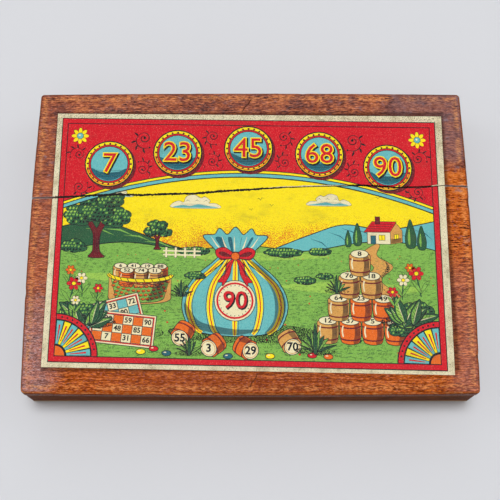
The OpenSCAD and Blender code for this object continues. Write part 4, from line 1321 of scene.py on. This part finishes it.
def broadLeaf(x, y, size, turn, ink="green"):
    at = setter(x, y, size, turn)
    blade = [(0, 0), (3, 2.4), (8, 3.7), (13, 2.6), (19, 0), (13, -2.4), (8, -3.5), (3, -2.4)]
    edged("darkGreen", at(smooth(blade)), edge=0.45)
    draw(ink, at(smooth([(0.8, 0.4), (4, 2.2), (8, 3), (12.6, 2), (17, 0.3), (9, 0.5)])))
    draw("key", *[
        at(line(px, side * 0.5, px + 2, side * (2.6 - abs(px - 7) * 0.14), 0.28))
        for px in (2.6, 5, 7.4, 9.8, 12.2) for side in (1, -1)
    ])
    draw("cream", at(stroke([(0.4, 0), (9, 0.3), (17.6, 0)], 0.42)))


def dock(x, y, size, leaves, seed):
    # a clump of broad leaves over its own dark shade
    pick = random.Random(seed)
    draw("shade", ellipse(x, y + 2, 40 * size, 9 * size))
    for k in range(leaves):
        turn = 90 + (1 if k % 2 else -1) * (74 - 68 * k / leaves) + pick.uniform(-7, 7)
        foot = (x + pick.uniform(-4, 4) * size, y + pick.uniform(-1, 1.5))
        broadLeaf(*foot, size * pick.uniform(0.75, 1.15), turn, "lime" if k % 3 == 1 else "green")


def reeds(x, y, size, seed):
    # a clump of narrow pointed leaves that spread from one root
    pick = random.Random(seed)
    draw("shade", ellipse(x, y + 0.6, 26 * size, 5 * size))
    for k in (-4, 4, -3, 3, -2, 2, -1, 1, 0):
        reach, rise = k * pick.uniform(2.6, 3.6), 15 - 2.6 * abs(k) + pick.uniform(0, 3)
        leaf = [
            (-0.9, 0), (reach * 0.4 - 1, rise * 0.55), (reach, rise), (reach * 0.5 + 1, rise * 0.5), (0.9, 0),
        ]
        edged("green" if k % 2 else "darkGreen", place(smooth(leaf, 3), x, y, size), edge=0.36)
        draw("key", place(
            stroke([(0, 0.6), (reach * 0.45, rise * 0.55), (reach * 0.9, rise * 0.92)], 0.4), x, y, size,
        ))


def grass(seed, low, high, side):
    # short dark tufts, dashes and small flowers scattered over the field, larger to the front
    pick = random.Random(seed)
    layers = {"darkGreen": [], "key": [], "lime": [], "red": []}
    y = high
    while y > low:
        size = 0.4 + 0.6 * (high - y) / (high - low)
        x = -side + pick.uniform(0, 4)
        while x < side:
            kind = pick.random()
            if kind < 0.04:
                layers["red"].append(ellipse(x, y + 1, 1.6 * size, 1.3 * size, 0, 8))
            elif kind < 0.45:
                for lean in (-1.6, -0.5, 0.7, 1.7):
                    root = x + lean * 0.7 * size
                    blade = [
                        (root - 0.2 * size, y), (root + 0.2 * size, y),
                        (x + lean * size * 1.5, y + pick.uniform(1, 2.5) * size),
                    ]
                    layers["key" if kind < 0.2 else "darkGreen"].append(blade)
            elif kind < 0.75:
                layers["lime" if kind < 0.55 else "darkGreen"].append(
                    line(x - 1.5 * size, y, x + 1.8 * size, y + 0.3, 0.34 * size)
                )
            x += pick.uniform(3.8, 7) * (0.6 + 0.5 * size)
        y -= 2.3 * size
    for ink, blades in layers.items():
        draw(ink, *blades)


def meadow(halfWidth, halfDepth):
    def hill(ink, points, floorY):
        crest = smooth(points, closed=False)
        draw("key", stroke([(x, y + 0.2) for x, y in crest], 0.8, 1))
        draw(ink, crest + [(points[-1][0], floorY), (points[0][0], floorY)])
    hill("turquoise", [(14, -8), (40, 3), (62, 10), (88, 7), (halfWidth, 13)], -14)
    draw("teal", *[
        stroke([(x, y), (x + 7, y - 2.4), (x + 12, y - 7)], 0.7)
        for x, y in [(40, 0.6), (52, 5), (60, 8), (70, 7), (82, 5), (96, 5), (106, 8)]
    ])
    hill("darkGreen", [(-halfWidth, 6), (-96, 10), (-72, 3), (-48, -6), (-26, -10)], -16)
    draw("green", *[
        stroke([(x, y), (x + 10, y - 0.6), (x + 18, y - 4)], 1.1)
        for x, y in [(-104, 5), (-92, 5), (-80, 1), (-66, -3)]
    ])
    near = [(-halfWidth, -10), (-80, -4), (-40, -8), (0, -5), (36, -8), (70, -2), (96, -1), (halfWidth, -6)]
    hill("green", near, -halfDepth)
    draw("lime", *[smooth(patch) for patch in [
        [(-60, -9), (-20, -10), (20, -9), (52, -11), (20, -14), (-30, -14)],
        [(-112, -26), (-70, -24), (-40, -29), (-70, -31)],
        [(20, -31), (60, -27), (112, -31), (70, -36)],
    ]])
    beside(foliage, [
        (-34, -9, 22, 6, 3, 1.9), (-8, -8, 18, 5, 5, 1.9), (22, -9, 26, 6, 6, 1.9), (46, -8, 16, 5, 7, 1.9),
        (-112, -7, 18, 9, 8, 2),
    ])


def drawPicture():
    outer = (label["width"] / 2 - label["margin"], label["depth"] / 2 - label["margin"])
    inset = 2 * label["line"] + label["band"]
    halfWidth, halfDepth = outer[0] - inset, outer[1] - inset
    draw("yellow", rectangle(0, 0, 2 * halfWidth, 2 * halfDepth))
    draw("blush", rectangle(0, 18, 2 * halfWidth, 60))
    beside(cloud, [(-34, 20, 0.85), (52, 23, 0.75, -1), (-84, 27, 0.5)])
    bird = stroke([(-2.4, 1), (-1, 1.5), (0, 0), (1, 1.5), (2.4, 1)], 0.4)
    birds = [(8, 26, 1, 8), (15, 22, 0.8, -6), (2, 19, 0.7, 5), (84, 28, 0.9, 0)]
    draw("key", *[place(bird, *spot) for spot in birds])
    meadow(halfWidth, halfDepth)
    beside(cypress, [(70, -3, 0.9), (64, -4, 0.65), (104, -4, 1.15), (111, -5, 0.95)])
    cottage(87, -2, 1.05)
    lane = [
        (80, -3), (72, -10), (80, -18), (70, -27), (84, -36), (96, -36), (84, -26), (92, -17), (82, -10),
        (84, -3),
    ]
    edged("tan", smooth(lane), edge=0.3)
    draw("shade", smooth([(88, -34), (84, -27), (90, -18), (84, -10), (88, -17), (82, -26)]))
    grass(4, -76, -11, 118)
    beside(tree, [(-97, -14, 1.22, 11), (-58, -8, 0.5, 21)])
    edged("cream", *[rectangle(x, -10, 1.3, 6.6) for x in range(-52, -28, 6)], edge=0.25)
    draw("cream", line(-54, -9, -30, -9, 0.9), line(-54, -11.6, -30, -11.6, 0.9))
    # the game itself in the foreground
    draw("shade", ellipse(-2, -61, 96, 13), ellipse(76, -63, 66, 10), ellipse(-82, -62, 60, 12))
    basket(-68, -40, 1.15, [6, 41, 19, 88, 52, 74, 11])
    numberCard(-86, -52, 1.12, 16, [4, 27, 61, 18, 45, 80, 9, 33, 72])
    numberCard(-78, -60, 1.12, -5, [7, 31, 66, 12, 48, 85, 22, 59, 90], "orange")
    sack(-8, -60, 1.02)
    for y, numbers in [(-65, (12, 37, 5, 81)), (-50.6, (64, 23, 49)), (-36.2, (76, 18)), (-21.8, (8,))]:
        left = 71 - 7 * (len(numbers) - 1)
        beside(keg, [
            (left + 14 * k, y, 1.08, number, "orange" if number % 2 else "tan")
            for k, number in enumerate(numbers)
        ])
    lying = [(-42, -65, 55, 60), (-24, -71, 3, 35), (2, -72, 29, 150), (28, -69, 70, 120)]
    beside(lyingKeg, [
        (x, y, 1, number, aim, "orange" if number % 2 else "tan") for x, y, number, aim in lying
    ])
    chips = [
        (-58, -72, "red"), (-50, -74.6, "teal"), (-66, -74, "yellow"), (40, -74, "red"), (14, -75, "yellow"),
        (-12, -75.6, "teal"), (50, -74.6, "orange"),
    ]
    beside(edged, [(ink, ellipse(x, y, 5.4, 3, count=16)) for x, y, ink in chips])
    draw("cream", *[ellipse(x - 0.9, y + 0.5, 1.8, 0.7, count=10) for x, y, ink in chips])
    beside(foliage, [(36, -27, 15, 5, 12, 1.7), (49, -24, 11, 4, 13, 1.6), (-33, -25, 13, 5, 14, 1.7)])
    beside(foliage, [(-107, -50, 24, 15, 15, 2), (106, -47, 24, 17, 16, 2), (95, -57, 16, 8, 17, 1.8)])
    beside(reeds, [(42, -72, 1, 7), (-36, -75, 0.7, 9), (56, -34, 0.6, 11), (-42, -38, 0.55, 12)])
    beside(dock, [(-101, -58, 0.95, 9, 2), (100, -54, 0.86, 9, 5)])
    beside(flower, [
        (-112, -46, 1.2, "red", 2), (-104, -40, 1, "cream", -1), (-113, -33, 0.85, "orange", 1),
        (97, -38, 1.05, "cream", 1), (109, -36, 1.25, "red", -2), (101, -27, 0.8, "orange", 2),
        (92, -44, 0.9, "red", -1), (-95, -44, 0.8, "red", 1), (-108, -52, 0.8, "cream", 0),
    ])
    # the arched head with its numbered discs
    across = [-halfWidth + 2 * halfWidth * i / 40 for i in range(41)]
    arch = [(x, 45 - 23 * (abs(x) / halfWidth) ** 2) for x in across]
    for ink, drop in (
        ("key", 3.7), ("turquoise", 3.1), ("key", 1.1), ("yellow", 0.5), ("key", -0.9), ("red", -1.5),
    ):
        draw(ink, [(x, y - drop) for x, y in arch] + [(halfWidth, halfDepth), (-halfWidth, halfDepth)])
    draw("maroon", *[
        place(stroke([(0, 0), (1.4, 2.6), (0, 5)], 0.6), x, y + 2, 1, 0) for x, y in arch[1:-1:2]
    ])
    beside(medallion, [
        (-91, 49.5, 1.06, 7), (-46.5, 58, 1.06, 23), (0, 61.4, 1.06, 45), (46.5, 58, 1.06, 68),
        (91, 49.5, 1.06, 90),
    ])
    scrolls = [
        (23.4, 70, 0.74, 200), (23.6, 52, 0.66, 20), (68.8, 68, 0.9, 190), (69, 46, 0.7, 10),
        (111, 56, 0.72, -70), (110, 33, 0.72, 100),
    ]
    beside(scroll, [(side * x, y, size, turn, side) for side in (1, -1) for x, y, size, turn in scrolls])
    beside(rosette, [(side * 111, 69, 0.9) for side in (1, -1)])
    beside(shellCorner, [(side * -halfWidth, -halfDepth, side) for side in (1, -1)])
    # the frame round the picture covers whatever stands over its edge
    for ink, inner, depth in (("key", -inset, inset), ("red", label["line"] - inset, label["band"])):
        w, d = 2 * (halfWidth - inner), 2 * (halfDepth - inner)
        draw(ink, rectangle(0, 0, w, d), rectangle(0, 0, w - 2 * depth, d - 2 * depth))


def joinOutlines(outlines, name):
    # every outline becomes a thin closed solid, and all become one piece at the origin
    bpy.ops.object.select_all(action="DESELECT")
    for outline in outlines:
        outline.select_set(True)
    bpy.context.view_layer.objects.active = outlines[0]
    bpy.ops.object.convert(target="MESH")
    bpy.ops.object.mode_set(mode="EDIT")
    bpy.ops.mesh.select_all(action="SELECT")
    bpy.ops.mesh.remove_doubles(threshold=0.0005 * mm)
    bpy.ops.object.mode_set(mode="OBJECT")
    bpy.ops.object.join()
    piece = bpy.context.object
    bpy.ops.object.transform_apply(location=True, rotation=True, scale=True)
    piece.name = name
    piece.data.materials.clear()
    return piece


def toFrame(mesh):
    # the printed frame isn't a true rectangle, so the print is stretched between its four corners
    frontLeft, frontRight, backRight, backLeft = label["frame"]
    for vertex in mesh.vertices:
        across = vertex.co.x / mm / (label["width"] - 2 * label["margin"]) + 0.5
        along = vertex.co.y / mm / (label["depth"] - 2 * label["margin"]) + 0.5
        for k in (0, 1):
            front = frontLeft[k] * (1 - across) + frontRight[k] * across
            back = backLeft[k] * (1 - across) + backRight[k] * across
            vertex.co[k] = (front * (1 - along) + back * along) * mm


def finishPrint(name, place, body, makeFinish):
    # one piece for each ink, moved to its place on the object
    for ink, outlines in printing["pieces"].items():
        piece = joinOutlines(outlines, name + "_" + ink)
        place(piece.data)
        piece.data.materials.append(makeFinish(ink))
        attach(piece, body)
        print(piece.name, len(piece.data.polygons), "faces")
    printing["pieces"] = {}


drawPicture()
print("print levels:", printing["level"])
finishPrint("label_print", toFrame, "lid", makeInk)
print("label printed")

# The kegs: turned wood, each with its own tone, and a number stamped in the dished end

kegs = {
    "left": -26.9, "back": 78.9, "pitch": 16.2, "floor": 4, "height": 15, "dish": 18.6,
    "rim": 5.7, "groove": 3, "numberHeight": 5.4, "ink": 0.05, "turns": 60,
    # the numbers that could be read upside down have a bar of this length and width under them
    "turnable": (6, 9, 16, 18, 19, 60, 61, 66, 68, 69, 81, 86, 89, 90), "bar": (3.6, 0.5),
}
kegTones = {
    "pale": rgb(226, 190, 142), "warm": rgb(200, 148, 92), "pink": rgb(206, 156, 118),
    "ring": rgb(160, 112, 66), "grime": rgb(96, 66, 42),
}


def makeKegFinish():
    shader = Shader("turned keg wood", IOR=1.5, Specular_IOR_Level=0.35)
    x, y, z = shader.axes()
    column = ((x - kegs["left"]) / kegs["pitch"]).math("ROUND")
    row = ((y - kegs["back"]) / kegs["pitch"]).math("ROUND")
    cell = shader.node("CombineXYZ", None, {0: column, 1: row, 2: 0})
    chance = shader.node("TexWhiteNoise", {"noise_dimensions": "3D"}, {"Vector": cell}, "Color")
    toneShare, ringX, ringY = shader.axes(chance)
    fromX = x - kegs["left"] - column * kegs["pitch"]
    fromY = y - kegs["back"] - row * kegs["pitch"]
    radius = (fromX * fromX + fromY * fromY).math("SQRT")
    up = z - kegs["floor"]

    tones = kegTones
    body = shader.mix(toneShare, shader.mix(ringX * 0.8, tones["pale"], tones["pink"]), tones["warm"])
    # growth rings across the ends, fine pores along the sides
    heartX, heartY = fromX + ringX * 18 - 9, fromY + ringY * 18 + 6
    heart = (heartX * heartX + heartY * heartY).math("SQRT") + shader.noise(3, detail=3) * 1.2
    rings = (heart * 7).math("SINE") * 0.5 + 0.5
    endGrain = shader.mix(rings * 0.3, body, tones["ring"])
    streak = shader.noise(0.7, (1, 1, 9), detail=3, rough=0.6, seed=6)
    sideGrain = shader.mix(streak.between(0.42, 0.72) * 0.5, body, tones["ring"])
    onEnd = shader.facing("Z") > 0.6
    colour = shader.mix(onEnd, sideGrain, endGrain)
    pore = shader.noise(0.3, (1, 1, 4), detail=1, seed=7)
    colour = shader.mix((pore < 0.37) * 0.4, colour, tones["ring"])
    # burnt grooves, and dirt round the rim of the dish
    half = kegs["height"] / 2
    groove = 1 - abs(abs(up - half) - (half - kegs["groove"])).between(0.25, 0.6)
    rim = (1 - abs(radius - kegs["rim"]).between(0.1, 0.45)) * onEnd
    handled = shader.noise(4, detail=4, rough=0.65, seed=9).between(0.5, 0.72) * 0.4
    colour = shader.mix((groove * 0.75).most(rim * 0.7).most(handled), colour, tones["grime"])
    height = streak * 0.5 + rings * 0.3 - (pore < 0.37) * 0.5
    return shader.finish(colour, 0.42 + handled * 0.4, height, depth=0.04)


def makeStampInk():
    shader = Shader("stamped number", Specular_IOR_Level=0.3)
    grain = shader.noise(0.5, detail=3)
    colour = shader.mix(grain.between(0.4, 0.8), rgb(28, 26, 34), rgb(58, 48, 46))
    return shader.finish(colour, 0.6, grain, depth=0.02, alpha=(grain < 0.66))


def stampKegs():
    pick = random.Random(90)
    finish, ink = makeKegFinish(), makeStampInk()
    for ten in range(9):
        stamps = []
        for column in range(10):
            number = ten * 10 + column + 1
            turn = math.radians(pick.uniform(-kegs["turns"], kegs["turns"]))
            x, y = kegs["left"] + column * kegs["pitch"], kegs["back"] - ten * kegs["pitch"]
            height = kegs["numberHeight"] * (0.92 if number > 9 else 1.1)
            text = numeral(number, 0, 0, height, 0.2, 2 * kegs["ink"])
            marks = [text]
            if number in kegs["turnable"]:
                bpy.ops.mesh.primitive_cube_add(size=1)
                bar = bpy.context.object
                bar.scale = (kegs["bar"][0] * mm, kegs["bar"][1] * mm, 2 * kegs["ink"] * mm)
                bar.location = (0, -height * 0.78 * mm, 0)
                bpy.ops.object.transform_apply()
                marks.append(bar)
            spot = Matrix.Translation((x * mm, y * mm, kegs["dish"] * mm)) @ Matrix.Rotation(turn, 4, "Z")
            for mark in marks:
                mark.matrix_world = spot @ mark.matrix_world
            stamps += marks
        node = "kegs_%02d_to_%02d" % (ten * 10 + 1, ten * 10 + 10)
        piece = joinOutlines(stamps, node + "_numbers")
        piece.data.materials.append(ink)
        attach(piece, "base")
        paint(node, finish)


stampKegs()
print("kegs finished")


# The cards: pasteboard with a printed face

cards = {
    "x": -86.5, "width": 84, "length": 177, "count": 24, "thickness": 0.7, "slip": 0.7, "turn": 0.3,
    "top": 20.8,
    "border": 4.5, "tones": [rgb(70, 130, 86), rgb(196, 62, 52), rgb(60, 116, 150), rgb(222, 168, 52)],
}
cardNumbers = [
    [3, 0, 27, 34, 0, 51, 0, 70, 0], [0, 15, 0, 38, 42, 0, 66, 0, 84], [8, 0, 29, 0, 49, 57, 0, 76, 0],
]
cardInks = {
    "black": rgb(34, 30, 34), "green": rgb(72, 136, 92), "rule": rgb(168, 48, 42),
    "ground": rgb(232, 218, 178),
}


def jitter(i):
    return math.sin(math.radians(137.508 * i + 40))


def makeCardFinish(i):
    shader = Shader("pasteboard %02d" % i, IOR=1.45, Specular_IOR_Level=0.25)
    face = shader.facing("Z")
    mottle = shader.noise(6, detail=4, rough=0.65, seed=i)
    fibre = shader.noise(0.35, (1, 1, 0.5), detail=2, seed=i + 30)
    paperSide = shader.mix(mottle, rgb(232, 220, 184), rgb(206, 186, 140))
    backSide = shader.mix(mottle * 0.5, rgb(150, 132, 104), rgb(120, 100, 76))
    core = shader.mix(fibre, rgb(188, 166, 126), rgb(126, 104, 76))
    tinted = shader.mix(0.16 + 0.1 * (i % 3), core, cards["tones"][i % 4])
    colour = shader.mix(face > 0.6, shader.mix(face < -0.6, tinted, backSide), paperSide)
    colour = shader.mix((fibre > 0.66) * 0.5, colour, rgb(112, 88, 62))
    return shader.finish(colour, 0.6, fibre + mottle, depth=0.03)


def makeCardInk(name):
    shader = Shader("card print " + name, IOR=1.45, Specular_IOR_Level=0.2)
    grain = shader.noise(0.5, detail=2)
    wear = shader.noise(3, detail=4, rough=0.7, seed=5)
    colour = shader.mix(wear.between(0.45, 0.75) * 0.35, cardInks[name], cardInks["ground"])
    gone = (grain > 0.7) + (wear > 0.68)
    return shader.finish(colour, 0.55, grain, depth=0.02, alpha=1 - gone.least(1))


def drawCard():
    # the top card: three rows of nine cells, read from the box's right
    width, length, border, shift = cards["length"], cards["width"], cards["border"], -3
    innerW, innerH = width - 2 * border, length - 2 * border + 2 * shift
    cellW, cellH = innerW / 9, innerH / 3
    printing.update(surface=cards["top"], level=0, first=0.012)
    at = setter(0, shift)
    for ink, less in (("black", 4), ("ground", 5), ("rule", 6.4), ("ground", 7.4)):
        draw(ink, rectangle(0, 0, width - less, length - less))
    draw("black", at(rectangle(0, 0, innerW + 1, innerH + 1)))
    ground, blanks = [], []
    for row in range(3):
        for column in range(9):
            x, y = (column - 4) * cellW, (1 - row) * cellH
            (ground if cardNumbers[row][column] else blanks).append((x, y))
    for ink, less, cells in (
        ("ground", 0.7, ground), ("green", 0.7, blanks), ("ground", 2.6, blanks), ("green", 3.4, blanks),
    ):
        draw(ink, *[at(rectangle(x, y, cellW - less, cellH - less)) for x, y in cells])
    for ink, size in (("ground", 8.2), ("green", 6.4), ("ground", 4)):
        # a star in every blank cell
        draw(ink, *[at(star(x, y, size, 8)) for x, y in blanks])
    for row in range(3):
        for column in range(9):
            x, y, number = (column - 4) * cellW, (1 - row) * cellH + shift, cardNumbers[row][column]
            if number:
                drawNumber("black", number, x, y, 11.5, 0.45, 1.25)
    drawNumber("rule", 24, 0, length / 2 - 6.6, 3.6, 0.2)
    draw("rule", *[star(side * reach, length / 2 - 6.6, 1.7, 6) for side in (-1, 1) for reach in (6, 10, 14)])


def star(x, y, reach, points):
    made = []
    for k in range(2 * points):
        radius, angle = reach if k % 2 == 0 else reach * 0.45, math.pi * k / points
        made.append((x + radius * math.cos(angle), y + radius * math.sin(angle)))
    return made


top = cards["count"]
cardPlace = Matrix.Translation((
    (cards["x"] + cards["slip"] * jitter(top)) * mm, cards["slip"] * jitter(top + 30) * mm, 0))
cardTurn = Matrix.Rotation(math.radians(90 + cards["turn"] * jitter(top + 60)), 4, "Z")
for i in range(1, top + 1):
    paint("card_%02d" % i, makeCardFinish(i))
drawCard()
finishPrint(
    "card_print", lambda mesh: mesh.transform(cardPlace @ cardTurn), "base", makeCardInk,
)
print("cards printed")


# Glass counters

glassTones = {"red": rgb(224, 40, 36), "amber": rgb(246, 172, 52), "blue": rgb(70, 140, 214)}


def makeGlass(name, tone):
    shader = Shader(name + " glass", IOR=1.45, Transmission_Weight=0.75)
    swirl = shader.noise(2.5, detail=2)
    paler = tuple(0.6 * value + 0.4 for value in tone[:3]) + (1,)
    colour = shader.mix(swirl.between(0.35, 0.75) * 0.35, tone, paler)
    return shader.finish(colour, 0.03 + swirl * 0.08, swirl, depth=0.05)


for glassName, glassTone in glassTones.items():
    paint("counters_" + glassName, makeGlass(glassName, glassTone))
print("counters glazed")


# The draw bag: ticking folded in three like a letter, with a hem and a drawstring

bag = {
    "left": -116, "width": 72, "front": -16.5, "length": 104, "floor": 20.8,
    "layer": 1.5, "gap": 0.25, "mouth": 7, "hem": 8, "thickness": 1.22, "hemThickness": 1.62, "seam": 3.2,
    "across": 78, "along": 250,
    # the pitch of the stitches, their thread, slant and way from the hem's edge, and how far a row
    # stays from its ends
    "stitch": 2.4, "thread": 0.34, "slant": 0.09, "hemRow": 1.2, "ends": 2,
}


def bagSection():
    # the middle line of the folded cloth seen from the front, from its lower edge to its mouth
    step = bag["layer"] + bag["gap"]
    radius, end = step / 2, bag["left"] + bag["width"]
    left, right = bag["left"] + bag["layer"] + bag["gap"] / 2, end - bag["layer"] - bag["gap"] / 2
    low, middle, high = [bag["floor"] + bag["layer"] / 2 + step * k for k in range(3)]
    return [
        ("line", (end, low), (left, low)),
        ("arc", (left, low + radius), -90, -270),
        ("line", (left, middle), (right, middle)),
        ("arc", (right, middle + radius), -90, 90),
        ("line", (right, high), (bag["left"] + bag["mouth"], high)),
    ], radius


def bagLine(distance, pieces, radius):
    # the point and the upward side of the cloth at a distance along it
    for piece in pieces:
        if piece[0] == "line":
            (ax, az), (bx, bz) = piece[1:]
            size = math.hypot(bx - ax, bz - az)
            if distance <= size or piece is pieces[-1]:
                share = distance / size
                way = ((bx - ax) / size, (bz - az) / size)
                return (ax + (bx - ax) * share, az + (bz - az) * share), (way[1], -way[0])
        else:
            centre, start, end = piece[1:]
            size = math.pi * radius
            if distance <= size:
                angle = math.radians(start + (end - start) * distance / size)
                out = (math.cos(angle), math.sin(angle))
                side = 1 if end > start else -1
                point = (centre[0] + radius * out[0], centre[1] + radius * out[1])
                return point, (out[0] * side, out[1] * side)
        distance -= size


def bagSize(pieces, radius):
    return sum(abs(p[2][0] - p[1][0]) if p[0] == "line" else math.pi * radius for p in pieces)


def clothNoise(x, y, seed):
    return mathutils.noise.noise(Vector((x, y, seed)))


def makeBag():
    pieces, radius = bagSection()
    total = bagSize(pieces, radius)
    across, along = bag["across"], bag["along"]
    topLayer = total - (bag["width"] - bag["layer"] - bag["mouth"])
    vertices, places = [], []
    for side in (1, -1):
        for i in range(along + 1):
            distance = total * i / along
            (x, z), (nx, nz) = bagLine(distance, pieces, radius)
            # the upper face of the cloth's top layer turns its normal up
            for j in range(across + 1):
                v = bag["length"] * j / across
                fromEdge = min(v, bag["length"] - v)
                fromEnd = min(distance, total - distance)
                inHem = total - distance < bag["hem"]
                half = (bag["hemThickness"] if inHem else bag["thickness"]) / 2
                if not inHem:
                    half *= 1 - 0.75 * math.exp(-fromEdge / 0.9)
                    half -= 0.16 * math.exp(-((fromEdge - bag["seam"]) / 0.5) ** 2)
                half *= 1 - 0.7 * math.exp(-fromEnd / 0.7)
                lift = 0.22 * clothNoise(distance / 9, v / 9, 1) + 0.1 * clothNoise(distance / 3, v / 3, 2)
                if distance > topLayer:
                    # the free top layer has soft creases, more near the gathered mouth
                    share = min(1, (distance - topLayer) / 20)
                    crease = clothNoise(distance / 34, v / 7.5, 3)
                    crease += 0.6 * clothNoise(distance / 15, v / 3.6, 4)
                    lift = max(-0.12, lift + share * (0.35 + 0.9 * crease)) * (0.35 if inHem else 1)
                else:
                    lift *= 0.7
                stray = 0.9 * clothNoise(distance / 30, 5 if v < bag["length"] / 2 else 9, 7)
                stray *= abs(v / bag["length"] - 0.5) * 2
                y = bag["front"] + v + stray * (0.2 if inHem else 1) + (0.4 - 0.8 * v / bag["length"])
                upward = lift * nz
                point = (x + nx * (side * half + upward), y, z + nz * (side * half + upward))
                vertices.append([value * mm for value in point])
                places.append((distance, v))
    rows, columns, faces = along + 1, across + 1, []
    for i in range(along):
        for j in range(across):
            a = i * columns + j
            quad = (a, a + 1, a + columns + 1, a + columns)
            faces.append(quad)
            faces.append(tuple(rows * columns + corner for corner in quad[::-1]))
    rim = list(range(across)) + [i * columns + across for i in range(along)]
    rim += [along * columns + j for j in range(across, 0, -1)] + [i * columns for i in range(along, 0, -1)]
    for a, b in zip(rim, rim[1:] + rim[:1]):
        faces.append((b, a, a + rows * columns, b + rows * columns))
    return makeSoftPiece("draw_bag_cloth", vertices, faces, "cloth", places), total


clothTones = {
    "warp": rgb(226, 214, 184), "weft": rgb(206, 190, 154), "stripe": rgb(58, 78, 116),
    "stain": rgb(168, 142, 102),
    "thread": rgb(236, 228, 206),
}


def makeTicking():
    shader = Shader("cotton ticking", Roughness=0.85, Specular_IOR_Level=0.2, Sheen_Weight=0.25)
    along, across = shader.axes(shader.node("UVMap", {"uv_map": "cloth"}))[:2]
    warp = (across * 9).math("SINE") * 0.5 + 0.5
    weft = (along * 9).math("SINE") * 0.5 + 0.5
    tones = clothTones
    over = shader.noise(0.5, detail=2)
    colour = shader.mix((warp * weft).between(0.1, 0.8), tones["weft"], tones["warp"])
    beat = (across / 10.4).math("FRACT")
    wide = 1 - abs(beat - 0.5).between(0.07, 0.085)
    thin = (1 - abs(abs(beat - 0.5) - 0.15).between(0.014, 0.028))
    stripe = wide.most(thin) * ((weft * 0.5 + over * 0.6).between(0.3, 0.6) * 0.5 + 0.5)
    colour = shader.mix(stripe, colour, tones["stripe"])
    soil = shader.noise(22, detail=5, rough=0.65, seed=4).between(0.48, 0.7)
    colour = shader.mix(soil * 0.4, colour, tones["stain"])
    height = warp * weft + over * 0.4
    return shader.finish(colour, 0.85, height, depth=0.12)


def makeThread():
    shader = Shader("sewing thread", Roughness=0.7, Specular_IOR_Level=0.3)
    fibre = shader.noise(0.3, detail=2)
    colour = shader.mix(fibre, clothTones["thread"], clothTones["stain"])
    return shader.finish(colour, 0.7, fibre, depth=0.05)


def makeStitches(bagObject):
    # short raised threads in rows along the hem and both seams of the top layer
    bpy.ops.mesh.primitive_uv_sphere_add(segments=6, ring_count=4, radius=1)
    stitch = bpy.context.object
    tree = mathutils.bvhtree.BVHTree.FromObject(bagObject, bpy.context.evaluated_depsgraph_get())
    hem, front, ends = bag["left"] + bag["mouth"] + bag["hem"], bag["front"], bag["ends"]
    rows = [((hem - bag["hemRow"], front + ends), (0, 1), bag["length"] - 2 * ends)]
    for y in (front + bag["seam"], front + bag["length"] - bag["seam"]):
        rows.append(((hem + ends, y), (1, 0), bag["left"] + bag["width"] - hem - 2 * ends))
    copies, thick = [], bag["thread"] / 2 * mm
    halves = (bag["stitch"] * 0.36 * mm, thick, thick, 1)
    for (x, y), (dx, dy), reach in rows:
        for k in range(int(reach / bag["stitch"])):
            px, py = x + dx * bag["stitch"] * k, y + dy * bag["stitch"] * k
            hit, normal = tree.ray_cast(Vector((px, py, 40)) * mm, Vector((0, 0, -1)))[:2]
            if hit is None:
                continue
            copy = stitch.copy()
            copy.data = stitch.data.copy()
            bpy.context.collection.objects.link(copy)
            aim = math.atan2(dy, dx) + bag["slant"]
            upright = Vector((0, 0, 1)).rotation_difference(normal).to_matrix().to_4x4()
            spot = Matrix.Translation(hit) @ upright @ Matrix.Rotation(aim, 4, "Z")
            copy.matrix_world = spot @ Matrix.Diagonal(halves)
            copies.append(copy)
    bpy.data.objects.remove(stitch)
    piece = joinOutlines(copies, "draw_bag_stitches")
    bpy.ops.object.shade_smooth()
    return piece


bagObject, bagFlat = makeBag()
bagObject.data.materials.append(makeTicking())
stitches = makeStitches(bagObject)
stitches.data.materials.append(makeThread())
for softPiece in (bagObject, stitches):
    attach(softPiece, "base")
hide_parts("draw_bag")
bagFlat * mm
print("bag folded:", round(bagFlat), "mm long when flat")
